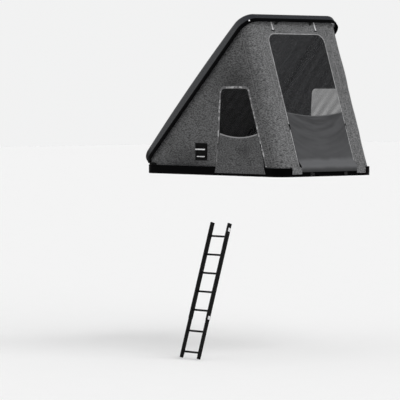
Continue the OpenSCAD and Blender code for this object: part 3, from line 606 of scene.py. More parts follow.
@dataclass(frozen=True)
class Layout:
    """Main places in metres, as in the solids."""

    front: float = -1.105
    rear: float = 1.105
    side: float = 0.690
    base_h: float = 0.094
    base_r: float = 0.150
    hinge_x: float = -1.100
    hinge_z: float = 0.135
    rim_z: float = 0.054
    open_deg: float = 43.5
    lid_x0: float = -1.132
    lid_x1: float = 1.163
    lid_y: float = 0.711
    lid_r: float = 0.171
    lid_h: float = 0.112
    lid_rise: float = 0.015
    lid_crown: float = 0.108
    lid_fabric_x: float = 1.1203
    fabric_n: float = 0.0426
    fabric_y: float = 0.668
    fabric_r: float = 0.128
    rear_foot: float = 1.083
    wall_z: float = 0.0943

    @property
    def flat_y(self) -> float:
        """Half width of the rear wall's flat part."""
        return self.fabric_y - self.fabric_r

    def lid_top(self, x: float) -> float:
        """Height of the closed lid's top above its rim."""
        t = (x - self.lid_x0) / (self.lid_x1 - self.lid_x0)
        return self.lid_h + self.lid_rise * t + self.lid_crown * t * (1.0 - t)

    def opened(self, x: float, n: float) -> Pair:
        """X and Z in the open position, from a place along the closed lid and a height over its rim."""
        a, b, turn = x - self.hinge_x, self.rim_z + n - self.hinge_z, math.radians(self.open_deg)
        return (self.hinge_x + a * math.cos(turn) - b * math.sin(turn),
                self.hinge_z + a * math.sin(turn) + b * math.cos(turn))

    def fabric_top(self, x: float) -> float:
        """Height of the fabric's upper edge over a place on the base's side."""
        (x0, z0), (x1, z1) = (self.opened(end, self.fabric_n) for end in (self.lid_x0, self.lid_fabric_x))
        return z0 + (z1 - z0) * (x - x0) / (x1 - x0)

    def lid_turn(self) -> Matrix:
        """Matrix that takes the closed lid to the open position."""
        there = Matrix.Translation((self.hinge_x, 0.0, self.hinge_z))
        return there @ Matrix.Rotation(-math.radians(self.open_deg), 4, "Y") @ there.inverted()


LAY = Layout()


@dataclass(frozen=True)
class SidePlane:
    """Flat frame on a side wall: X along, Z up, and the distance outwards."""

    side: Side

    def at(self, a: float, b: float, out: float = 0.0) -> Vector:
        """Point of the tent at a place in the plane."""
        return Vector((a, self.side.value * (LAY.fabric_y + out), b))


class RearPlane:
    """Flat frame on the leaning rear wall: Y across, up the wall, and the distance outwards."""

    def __init__(self) -> None:
        """Works out the lean from the wall's two edges."""
        head = LAY.opened(LAY.lid_fabric_x, LAY.fabric_n)
        self.lean = math.atan2(LAY.rear_foot - head[0], head[1] - LAY.wall_z)
        self.height = (head[1] - LAY.wall_z) / math.cos(self.lean)

    def at(self, a: float, b: float, out: float = 0.0) -> Vector:
        """Point of the tent at a place in the plane."""
        c, s = math.cos(self.lean), math.sin(self.lean)
        return Vector((LAY.rear_foot - b * s + out * c, a, LAY.wall_z + b * c + out * s))

    def flat(self, p: Vector) -> Vector:
        """Place across and up the plane of a point of the tent."""
        return Vector((p.y, (p.z - LAY.wall_z) / math.cos(self.lean)))


WallPlane = Union[SidePlane, RearPlane]


class Outline:
    """Open line of flat points with rounded corners, used for a door's edge or a profile."""

    def __init__(self, points: Sequence[Sequence[float]]) -> None:
        """Keeps the points and the distance to each.

        Args:
            points: flat points in order.
        """
        self.points = [Vector(p) for p in points]
        self.marks = [0.0]
        for a, b in zip(self.points, self.points[1:]):
            self.marks.append(self.marks[-1] + (b - a).length)

    @property
    def length(self) -> float:
        """Length of the line."""
        return self.marks[-1]

    def ring(self) -> list[tuple[Vector, Vector]]:
        """Ends of every run, with the straight run that closes the line."""
        return list(zip(self.points, self.points[1:] + self.points[:1]))

    def at(self, share: float) -> tuple[Vector, Vector]:
        """Finds a place on the line.

        Args:
            share: share of the line's length.

        Returns:
            The point and the outward direction.
        """
        want = share * self.length
        last = len(self.points) - 2
        i = next((i for i in range(last) if want <= self.marks[i + 1]), last)
        a, b = self.points[i], self.points[i + 1]
        run = (b - a).normalized()
        return a + run * (want - self.marks[i]), Vector((-run.y, run.x))

    def holds(self, p: Vector, grow: float = 0.0) -> bool:
        """Tests whether a flat point is inside the closed line.

        Args:
            p: the point.
            grow: distance outside the line that still counts.

        Returns:
            True where it is inside.
        """
        inside = False
        for a, b in self.ring():
            if (a.y > p.y) != (b.y > p.y) and p.x < (b.x - a.x) * (p.y - a.y) / (b.y - a.y) + a.x:
                inside = not inside
        return inside or (grow > 0.0 and (self.nearest(p) - p).length < grow)

    def nearest(self, p: Vector) -> Vector:
        """Finds the line's nearest point.

        Args:
            p: a flat point.

        Returns:
            The nearest point of the line.
        """
        spots = []
        for a, b in zip(self.points, self.points[1:]):
            run = b - a
            spots.append(a + run * max(0.0, min(1.0, (p - a).dot(run) / run.length_squared)))
        return min(spots, key=lambda q: (q - p).length)

    def span(self, height: float) -> Pair:
        """Left and right place of the line at a height."""
        hits = [a.x + (b.x - a.x) * (height - a.y) / (b.y - a.y)
                for a, b in zip(self.points, self.points[1:])
                if abs(a.y - b.y) > 1e-9 and min(a.y, b.y) - TINY <= height <= max(a.y, b.y) + TINY]
        return min(hits), max(hits)

    def area(self) -> float:
        """Area inside the closed line."""
        return abs(sum(a.x * b.y - b.x * a.y for a, b in self.ring())) / 2.0

    def box(self) -> Pair:
        """Width and height of the line."""
        spans = [[p[i] for p in self.points] for i in (0, 1)]
        return max(spans[0]) - min(spans[0]), max(spans[1]) - min(spans[1])


def rounded(points: Sequence[Sequence[float]], radius: float, steps: int = 10) -> Outline:
    """Line through points whose inner corners are rounded.

    Args:
        points: corners in order.
        radius: corner radius.
        steps: points per corner.

    Returns:
        The rounded line.
    """
    corners = [Vector(p) for p in points]
    made = [corners[0]]
    for before, p, after in zip(corners, corners[1:], corners[2:]):
        u, v = (before - p).normalized(), (after - p).normalized()
        half = u.angle(v) / 2.0
        centre = p + (u + v).normalized() * radius / math.sin(half)
        first = p + u * radius / math.tan(half) - centre
        last = p + v * radius / math.tan(half) - centre
        for i in range(steps + 1):
            made.append(centre + first.lerp(last, i / steps).normalized() * radius)
    made.append(corners[-1])
    return Outline(made)


def table(rows: Sequence[Pair], x: float) -> float:
    """Straight interpolation in rows that rise in their first number.

    Args:
        rows: pairs of a place and a value.
        x: the wanted place.

    Returns:
        The value there, or the nearest row's value outside the rows.
    """
    if x <= rows[0][0]:
        return rows[0][1]
    for (a, p), (b, q) in zip(rows, rows[1:]):
        if x <= b:
            return p + (q - p) * (x - a) / (b - a)
    return rows[-1][1]


def between(ends: Pair, share: float) -> float:
    """Value between two ends by a share."""
    return ends[0] + (ends[1] - ends[0]) * share


@dataclass(frozen=True)
class Openings:
    """Sizes of the doors' openings in the walls."""

    side_foot: Pair = (0.095, 0.845)
    side_head: Pair = (0.149, 0.561)
    side_z: Pair = (0.0973, 0.924)
    side_r: float = 0.055
    rear_half: float = 0.405
    rear_low: float = 0.003
    rear_under: float = 0.144
    rear_r: float = 0.095

    def side(self) -> Outline:
        """Line of a side door along and up the wall."""
        (a, d), (b, c), (low, high) = self.side_foot, self.side_head, self.side_z
        return rounded(((a, low), (b, high), (c, high), (d, low)), self.side_r)

    def rear(self, plane: RearPlane) -> Outline:
        """Line of the rear door across and up the wall."""
        half, low, high = self.rear_half, self.rear_low, plane.height - self.rear_under
        return rounded(((-half, low), (-half, high), (half, high), (half, low)), self.rear_r)


# Mesh helpers


def edges_where(bm: Mesh, test: Callable[[Any], bool]) -> list[Any]:
    """Edges of a mesh that pass a test."""
    return [e for e in bm.edges if test(e)]


def upright_edges(bm: Mesh, least: float) -> list[Any]:
    """Edges of a mesh that rise by more than a height."""
    return edges_where(bm, lambda e: abs(e.verts[0].co.z - e.verts[1].co.z) > least)


def faces_where(bm: Mesh, test: Callable[[Any], bool]) -> list[Any]:
    """Faces of a mesh that pass a test on their fresh normals."""
    bm.normal_update()
    return [f for f in bm.faces if test(f)]


def drop_faces(bm: Mesh, test: Callable[[Any], bool]) -> None:
    """Deletes the faces that pass a test."""
    bmesh.ops.delete(bm, geom=faces_where(bm, test), context="FACES")


def outward(bm: Mesh) -> None:
    """Turns all faces outwards."""
    bmesh.ops.recalc_face_normals(bm, faces=bm.faces[:])


def bevel(bm: Mesh, edges: list[Any], offset: float, segments: int = 3, clamp: bool = True) -> None:
    """Rounds edges by a radius."""
    bmesh.ops.bevel(bm, geom=edges, offset=offset, segments=segments, profile=0.5, affect="EDGES",
                    material=-1, clamp_overlap=clamp)


def sharp_edges(bm: Mesh, least: float) -> list[Any]:
    """Edges whose faces meet at more than an angle in degrees."""
    bm.normal_update()
    return edges_where(bm, lambda e: len(e.link_faces) == 2 and e.calc_face_angle(0.0) > math.radians(least))


def block(lo: Sequence[float], hi: Sequence[float], round_by: float = 0.0, segments: int = 2,
          bm: Optional[Mesh] = None) -> Mesh:
    """Block between two corners with rounded edges.

    Args:
        lo: lowest corner.
        hi: highest corner.
        round_by: radius of its edges.
        segments: steps of the rounding.
        bm: mesh to add it to.

    Returns:
        The mesh.
    """
    bm = bm or bmesh.new()
    size = [b - a for a, b in zip(lo, hi)]
    centre = [(a + b) / 2.0 for a, b in zip(lo, hi)]
    made = bmesh.ops.create_cube(bm, size=1.0, matrix=Matrix.Translation(centre)
                                 @ Matrix.Diagonal((*size, 1.0)))
    if round_by > 0.0:
        bevel(bm, list({e for v in made["verts"] for e in v.link_edges}), round_by, segments)
    return bm


def rod(a: Sequence[float], b: Sequence[float], radius: float, round_by: float = 0.0,
        sides: int = 24, bm: Optional[Mesh] = None) -> Mesh:
    """Round bar between two points with rounded ends.

    Args:
        a: middle of one end.
        b: middle of the other end.
        radius: the bar's radius.
        round_by: radius of the ends' edges.
        sides: number of sides.
        bm: mesh to add it to.

    Returns:
        The mesh.
    """
    bm = bm or bmesh.new()
    a, b = Vector(a), Vector(b)
    turn = (b - a).to_track_quat("Z", "Y").to_matrix().to_4x4()
    made = bmesh.ops.create_cone(bm, cap_ends=True, segments=sides, radius1=radius, radius2=radius,
                                 depth=(b - a).length, matrix=Matrix.Translation((a + b) / 2.0) @ turn)
    if round_by > 0.0:
        axis = (b - a).normalized()
        rims = [e for e in {e for v in made["verts"] for e in v.link_edges}
                if abs((e.verts[1].co - e.verts[0].co).normalized().dot(axis)) < 0.3]
        bevel(bm, rims, round_by, 2)
    return bm


def plan_block(x: Pair, y: float, r: float, z: Pair, segments: int) -> Mesh:
    """Upright block with rounded corners in plan.

    Args:
        x: its two ends along.
        y: half its width.
        r: radius of its corners in plan.
        z: its underside and top.
        segments: steps of a corner.

    Returns:
        The mesh.
    """
    bm = block((x[0], -y, z[0]), (x[1], y, z[1]))
    bevel(bm, upright_edges(bm, (z[1] - z[0]) / 2), r, segments, clamp=False)
    return bm


def slice_at(bm: Mesh, point: Sequence[float], normal: Sequence[float], clear: bool = False) -> None:
    """Cuts a mesh at a plane, and may drop what lies on the side of the normal."""
    bmesh.ops.bisect_plane(bm, geom=bm.verts[:] + bm.edges[:] + bm.faces[:], dist=TINY,
                           plane_co=point, plane_no=normal, clear_outer=clear)


def slice_evenly(bm: Mesh, axis: int, ends: Pair, count: int) -> None:
    """Cuts a mesh into even slices.

    Args:
        bm: the mesh.
        axis: number of the axis along which it is cut.
        ends: the mesh's two ends on that axis.
        count: number of slices.
    """
    normal = [float(i == axis) for i in range(3)]
    for i in range(1, count):
        slice_at(bm, [between(ends, i / count) * n for n in normal], normal)


def sheet_mesh(cols: int, rows: int, place: Place, measure: Optional[Measure] = None,
               bm: Optional[Mesh] = None) -> Mesh:
    """Grid of cloth laid by a rule.

    Args:
        cols: cells across.
        rows: cells along.
        place: point for a share across and a share along.
        measure: cloth coordinates for the same shares, which are the shares where it isn't given.
        bm: mesh to add it to.

    Returns:
        The mesh.
    """
    bm = bm or bmesh.new()
    layer = bm.loops.layers.uv.get("cloth") or bm.loops.layers.uv.new("cloth")
    made = bmesh.ops.create_grid(bm, x_segments=cols, y_segments=rows, size=0.5)["verts"]
    lo = min(v.co.x for v in made)
    span = max(v.co.x for v in made) - lo
    shares = {v: ((v.co.x - lo) / span, (v.co.y - lo) / span) for v in made}
    for face in {f for v in made for f in v.link_faces}:
        for loop in face.loops:
            share = shares[loop.vert]
            loop[layer].uv = measure(*share) if measure else share
    for v, share in shares.items():
        v.co = place(*share)
    return bm


def sheet_area(bm: Mesh) -> float:
    """Area of a mesh's faces."""
    return sum(f.calc_area() for f in bm.faces)


def thicken(bm: Mesh, thickness: float) -> Mesh:
    """Gives an open sheet its thickness and turns its faces outwards.

    Args:
        bm: the sheet.
        thickness: its thickness.

    Returns:
        The same mesh.
    """
    bm.normal_update()
    bmesh.ops.solidify(bm, geom=bm.faces[:], thickness=thickness)
    outward(bm)
    return bm


def cut_door(bm: Mesh, door: Outline, flat: Callable[[Vector], Optional[Vector]],
             lift: Callable[[Vector, Vector], Vector]) -> None:
    """Cuts a door into a wall grid and draws the cut's edge onto the door's line.

    Args:
        bm: the wall.
        door: the door's line.
        flat: flat point of a wall point, or None where the wall has no door.
        lift: wall point of a flat point, beside the old wall point.
    """
    def cut(face: Any) -> bool:
        """True for a face in the doorway."""
        p = flat(face.calc_center_median())
        return p is not None and door.holds(p, DOOR_GROW)

    gone = faces_where(bm, cut)
    touched = {v for f in gone for v in f.verts}
    bmesh.ops.delete(bm, geom=gone, context="FACES")
    for v in touched:
        if v.is_valid and v.is_boundary and flat(v.co) is not None:
            p = flat(v.co)
            q = door.nearest(p)
            if (q - p).length < DOOR_REACH:
                v.co = lift(v.co, q)


def add_piece(name: str, bm: Mesh, finish: Material, slot: Slot, nodes: Sequence[str] = (),
              body: str = "base", smooth: float = HARD_ANGLE, fold: Optional[float] = None,
              keep: float = FOLD_KEEP) -> Piece:
    """Makes an object from a mesh and puts it on its body.

    Args:
        name: the piece's name.
        bm: its mesh, which is freed.
        finish: its material.
        slot: the record's material slot; not used.
        nodes: solids that it stands for.
        body: the body that it rides on.
        smooth: angle in degrees under which edges look smooth.
        fold: height to which a soft piece would fold down as the lid shuts; when given, the piece only gets
            its own mesh here.
        keep: share of its height that it would keep; not used.

    Returns:
        The object.
    """
    data = bpy.data.meshes.new(name)
    bm.normal_update()
    bm.to_mesh(data)
    bm.free()
    data.shade_smooth()
    data.set_sharp_from_angle(angle=math.radians(smooth))
    data.materials.append(finish)
    piece = bpy.data.objects.new(name, data)
    bpy.context.scene.collection.objects.link(piece)
    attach(piece, body)
    if nodes:
        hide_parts(*nodes)
    if fold is not None:
        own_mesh(piece)
    LOG.info("piece %s on %s: %d faces", name, body, len(data.polygons))
    return piece


def add_cloth(name: str, bm: Mesh, thickness: float, finish: Material, slot: Slot, *nodes: str) -> Piece:
    """Makes a soft piece from an open sheet of a given thickness, with its own mesh."""
    return add_piece(name, thicken(bm, thickness), finish, slot, nodes, smooth=SOFT_ANGLE, fold=FOLD_Z)


def puff(bm: Mesh, fixed: Callable[[Vector], bool], cap: float) -> None:
    """Args:
        bm: the closed shape.
        fixed: true for points that are sewn down or lie on something.
        cap: longest way that a point may move.
    """
    outward(bm)
    scene = bpy.context.scene
    data = bpy.data.meshes.new("puff")
    bm.verts.index_update()
    bm.to_mesh(data)
    cover = bpy.data.objects.new("puff", data)
    scene.collection.objects.link(cover)
    pins = cover.vertex_groups.new(name="pins")
    pins.add([v.index for v in data.vertices if fixed(v.co)], 1.0, "REPLACE")
    cloth = cover.modifiers.new("cloth", "CLOTH")
    cloth.settings.quality = PUFF_QUALITY
    cloth.settings.use_pressure = True
    cloth.settings.uniform_pressure_force = PUFF_PRESSURE
    cloth.settings.effector_weights.gravity = 0.0
    cloth.settings.vertex_group_mass = pins.name
    cloth.point_cache.frame_start = 1
    cloth.point_cache.frame_end = PUFF_FRAMES
    for number in range(1, PUFF_FRAMES + 1):
        scene.frame_set(number)
    done = cover.evaluated_get(bpy.context.evaluated_depsgraph_get())
    moves = [after.co - before.co for after, before in zip(done.data.vertices, data.vertices)]
    scene.frame_set(1)
    bpy.data.objects.remove(cover)
    bpy.data.meshes.remove(data)
    for v, move in zip(bm.verts, moves):
        v.co += move * min(1.0, cap / max(move.length, TINY))
    outward(bm)
    LOG.info("cloth simulation moved points by up to %.1f mm",
             1000.0 * min(cap, max(move.length for move in moves)))


def slack(p: Vector, depth: float) -> float:
    """Small uneven standing-out of stretched cloth.

    Args:
        p: a point of the cloth.
        depth: how far it stands out.

    Returns:
        The distance outwards.
    """
    broad = noise.noise(Vector((p.x * 3.1, p.y * 3.1, p.z * 2.3)))
    small = noise.noise(Vector((p.x * 9.0 + 9.0, p.y * 9.0, p.z * 6.0)))
    return depth * (broad + SMALL_SLACK * small)


def calm(door: Outline, p: Vector, spots: Sequence[Triple] = ()) -> float:
    """Share of slack left near a door's edge or near flat round spots.

    Args:
        door: the door's line.
        p: a flat point of the wall.
        spots: place along, place up and radius of each flat spot.

    Returns:
        The share.
    """
    gap = (door.nearest(p) - p).length
    for a, b, r in spots:
        gap = min(gap, max(0.0, math.hypot(p.x - a, p.y - b) - r))
    return min(1.0, max(0.0, gap - CALM_BORDER) / CALM_RAMP)


def hump(u: float, power: float = 1.0) -> float:
    """Arch that is nought at both ends of a share and one in its middle."""
    return max(math.sin(math.pi * u), 0.0) ** power


# Sub-assemblies


@dataclass
class Base:
    """Black base tray with pressed lines round its wall, and soft lips at its front."""

    finishes: Finishes
    wall: float = 0.004
    sheet: float = 0.003
    edge_r: float = 0.0015
    line_at: Pair = (0.026, 0.062)
    line_w: float = 0.005
    line_deep: float = 0.0016
    line_slope: float = 0.0008
    rail_x: float = 0.9503
    rail_y: float = 0.4
    rail_w: float = 0.0606
    lip_h: float = 0.022
    lip_t: float = 0.002
    lip_in: float = 0.008
    lip_keep: float = 0.05
    lip_start: float = 4.0
    lip_bend: float = 0.8
    lip_along: float = 0.3
    lip_spans: tuple[Pair, ...] = ((-0.535, -0.485), (-0.355, 0.355), (0.485, 0.535))

    def build(self) -> None:
        """Makes the tray and its lips."""
        bm = plan_block((LAY.front, LAY.rear), LAY.side, LAY.base_r, (0.0, LAY.base_h), 18)
        top = faces_where(bm, lambda f: f.normal.z > FACING)
        bmesh.ops.inset_region(bm, faces=top, thickness=self.wall, use_even_offset=True)
        grown = bmesh.ops.extrude_face_region(bm, geom=top)
        bmesh.ops.delete(bm, geom=top, context="FACES_ONLY")
        floor = [v for v in grown["geom"] if isinstance(v, bmesh.types.BMVert)]
        bmesh.ops.translate(bm, verts=floor, vec=(0, 0, self.sheet - LAY.base_h))
        self.press_lines(bm)
        rims = edges_where(bm, lambda e: e.calc_face_angle(0.0) > 1.0 and any(
            all(abs(v.co.z - z) < TINY for v in e.verts) for z in (0.0, LAY.base_h)))
        bevel(bm, rims, self.edge_r, 2)
        self.rail_gaps(bm)
        outward(bm)
        add_piece("base_shell", bm, self.finishes.base, Slot.BASE, ("base_tray",))
        self.lips()

    def press_lines(self, bm: Mesh) -> None:
        """Presses the lines into the tray's outer wall.

        Args:
            bm: the tray.
        """
        for z in self.line_at:
            slice_at(bm, (0, 0, z), UP)
            slice_at(bm, (0, 0, z + self.line_w), UP)
        for z in self.line_at:
            middle = z + self.line_w / 2
            highlight_share = faces_where(bm, lambda f: abs(f.normal.z) < 0.1
                               and abs(f.calc_center_median().z - middle) < 0.001
                               and f.normal.dot(f.calc_center_median()) > 0.0)
            bmesh.ops.inset_region(bm, faces=highlight_share, thickness=self.line_slope, depth=-self.line_deep,
                                   use_even_offset=True)

    def rail_gaps(self, bm: Mesh) -> None:
        """Opens the tray's sheet where the mounting rails come through.

        Args:
            bm: the tray.
        """
        for s in SIDES:
            y0, y1 = s * self.rail_y - self.rail_w / 2, s * self.rail_y + self.rail_w / 2
            for point, normal in (((self.rail_x, 0, 0), (1, 0, 0)), ((-self.rail_x, 0, 0), (1, 0, 0)),
                                  ((0, y0, 0), (0, 1, 0)), ((0, y1, 0), (0, 1, 0))):
                flat = self.sheet_faces(bm)
                parts = {p for f in flat for p in (*f.verts, *f.edges)}
                bmesh.ops.bisect_plane(bm, geom=flat + list(parts), dist=TINY, plane_co=point,
                                       plane_no=normal)
            gone = [f for f in self.sheet_faces(bm) if y0 < f.calc_center_median().y < y1
                    and abs(f.calc_center_median().x) < self.rail_x]
            bmesh.ops.delete(bm, geom=gone, context="FACES")
            bmesh.ops.bridge_loops(bm, edges=edges_where(bm, lambda e: e.is_boundary))

    def sheet_faces(self, bm: Mesh) -> list[Any]:
        """Faces of the tray's flat sheet, on both sides."""
        return faces_where(bm, lambda f: abs(f.normal.z) > FACING
                           and f.calc_center_median().z < 2.0 * self.sheet)

    def corner_lip(self, s: float, u: float, v: float) -> Vector:
        """Point of a lip that goes round a front corner and a little along the side.

        Args:
            s: side of the tent, -1 or 1.
            u: share along the lip.
            v: share up the lip.

        Returns:
            The point.
        """
        radius = LAY.base_r - self.lip_in
        a = math.radians(self.lip_start + (90.0 - self.lip_start) * min(u / self.lip_bend, 1.0))
        along = max(u - self.lip_bend, 0.0) * self.lip_along
        return Vector((LAY.front + LAY.base_r - radius * math.cos(a) + along,
                       s * (LAY.side - LAY.base_r + radius * math.sin(a)), LAY.wall_z + self.lip_h * v))

    def front_lip(self, ends: Pair, u: float, v: float) -> Vector:
        """Point of a straight lip along the front, between two places across."""
        return Vector((LAY.front + self.lip_in, between(ends, u), LAY.wall_z + self.lip_h * v))

    def lips(self) -> None:
        """Makes soft rubber lips that close the front under the lid, left open at the hinges."""
        bm = bmesh.new()
        for s in SIDES:
            sheet_mesh(48, 4, partial(self.corner_lip, s), bm=bm)
        for ends in self.lip_spans:
            sheet_mesh(8, 4, partial(self.front_lip, ends), bm=bm)
        thicken(bm, self.lip_t)
        add_piece("front_lips", bm, self.finishes.rubber, Slot.RUBBER, fold=LAY.wall_z, keep=self.lip_keep)


@dataclass
class Lid:
    """Crowned lid shell with its edge trim and bolts."""

    finishes: Finishes
    wall: float = 0.005
    raw_h: float = 0.15
    edge_r: float = 0.040
    trim_h: float = 0.045
    trim_t: float = 0.006
    trim_step: float = 0.002
    trim_edge: float = 0.0018
    cut_n: float = 0.064
    cut_run: float = 0.096
    bolt_r: float = 0.009
    bolt_h: float = 0.0045
    bolt_edge: float = 0.0022
    bolt_n: float = 0.032
    bolt_turn: float = 34.0
    bolt_gap: float = 0.0003
    key_share: float = 0.45
    key_span: Pair = (0.0044, 0.0052)

    def build(self) -> None:
        """Makes the lid's pieces."""
        self.shell()
        self.trim()
        self.bolts()
        Lining(self.finishes, self.wall).build()

    def cut_front(self, bm: Mesh) -> None:
        """Cuts the skirt away round the front, in the closed position."""
        low = (LAY.lid_x0 + self.cut_run, 0.0, LAY.rim_z)
        slice_at(bm, low, (-self.cut_n, 0.0, -self.cut_run), clear=True)

    def shell(self) -> None:
        """Makes the outer shell: rounded plan, crowned top, rounded upper edge."""
        ends = (LAY.lid_x0 + self.trim_step, LAY.lid_x1 - self.trim_step)
        low, high = LAY.rim_z + self.trim_h, LAY.rim_z + self.raw_h
        bm = plan_block(ends, LAY.lid_y - self.trim_step, LAY.lid_r - self.trim_step, (low, high), 16)
        slice_evenly(bm, 0, ends, 36)
        for v in bm.verts:
            if v.co.z > high - TINY:
                v.co.z = LAY.rim_z + LAY.lid_top(v.co.x)
        bm.normal_update()
        upper = edges_where(bm, lambda e: len(e.link_faces) == 2
                            and sum(f.normal.z > 0.8 for f in e.link_faces) == 1
                            and sum(abs(f.normal.z) < 0.2 for f in e.link_faces) == 1)
        bevel(bm, upper, self.edge_r, 9, clamp=False)
        drop_faces(bm, lambda f: f.normal.z < -FACING)
        self.cut_front(bm)
        outward(bm)
        thicken(bm, self.wall)
        bm.transform(LAY.lid_turn())
        add_piece("lid_outer_shell", bm, self.finishes.shell, Slot.LID, ("lid_shell",), "lid")

    def trim(self) -> None:
        """Makes the black trim that runs round the rim."""
        bm = plan_block((LAY.lid_x0, LAY.lid_x1), LAY.lid_y, LAY.lid_r,
                        (LAY.rim_z, LAY.rim_z + self.trim_h), 18)
        drop_faces(bm, lambda f: abs(f.normal.z) > FACING)
        self.cut_front(bm)
        thicken(bm, self.trim_t)
        bevel(bm, sharp_edges(bm, 50.0), self.trim_edge, 2)
        bm.transform(LAY.lid_turn())
        add_piece("lid_rim_trim", bm, self.finishes.trim, Slot.TRIM, ("lid_edge_trim",), "lid")

    def bolts(self) -> None:
        """Makes light domed bolt heads at the rear corners."""
        bm = bmesh.new()
        a = math.radians(self.bolt_turn)
        for s in SIDES:
            out = Vector((math.cos(a), s * math.sin(a), 0.0))
            foot = Vector((LAY.lid_x1 - LAY.lid_r, s * (LAY.lid_y - LAY.lid_r), LAY.rim_z + self.bolt_n))
            foot = foot + out * (LAY.lid_r + self.bolt_gap)
            rod(foot, foot + out * self.bolt_h, self.bolt_r, self.bolt_edge, bm=bm)
            rod(foot + out * self.key_span[0], foot + out * self.key_span[1], self.bolt_r * self.key_share,
                sides=6, bm=bm)
        bm.transform(LAY.lid_turn())
        add_piece("lid_bolt_heads", bm, self.finishes.light, Slot.LIGHT, ("lid_corner_bolts",), "lid")


@dataclass
class Lining:
    """Quilted lining under the lid's top."""

    finishes: Finishes
    shell_wall: float
    inset: float = 0.070
    front: float = 0.200
    thick: float = 0.014
    gap: float = 0.0003
    touch: float = 0.001
    raw_h: float = 0.1
    cells: tuple[int, int] = (84, 48)
    pads: tuple[int, int] = (12, 6)
    seam_w: float = 0.05
    seam_share: float = 0.45
    pad_share: float = 0.75
    swell: float = 0.005
    fill: float = 0.5

    def __post_init__(self) -> None:
        """Works out the lining's edges from the lid's."""
        self.ends = (LAY.lid_x0 + self.front, LAY.lid_x1 - self.inset)
        self.y = LAY.lid_y - self.inset

    def roof(self, x: float) -> float:
        """Height of the closed shell's inner face."""
        return LAY.rim_z + LAY.lid_top(x) - self.shell_wall

    def sewn(self, p: Vector) -> bool:
        """True on the quilting lines, in the closed position."""
        shares = (p.x - self.ends[0]) / (self.ends[1] - self.ends[0]), (p.y + self.y) / (2 * self.y)
        return any(abs(s * n - round(s * n)) < self.seam_w for s, n in zip(shares, self.pads))

    def fixed(self, p: Vector) -> bool:
        """True against the shell and on the quilting lines."""
        return self.sewn(p) or self.roof(p.x) - p.z < self.touch

    def build(self) -> None:
        """Makes the lining."""
        high = LAY.rim_z + self.raw_h
        bm = plan_block(self.ends, self.y, LAY.lid_r - self.inset, (high - self.thick, high), 8)
        slice_evenly(bm, 0, self.ends, self.cells[0])
        slice_evenly(bm, 1, (-self.y, self.y), self.cells[1])
        for v in bm.verts:
            lower = v.co.z < high - self.thick / 2
            v.co.z = self.roof(v.co.x) - self.gap
            if lower:
                v.co.z -= self.thick * (self.seam_share if self.sewn(v.co) else self.pad_share)
        puff(bm, self.fixed, self.swell)
        bm.transform(LAY.lid_turn())
        piece = add_piece("head_lining_quilt", bm, self.finishes.quilt, Slot.WALL, ("lid_liner",), "lid",
                          SOFT_ANGLE)


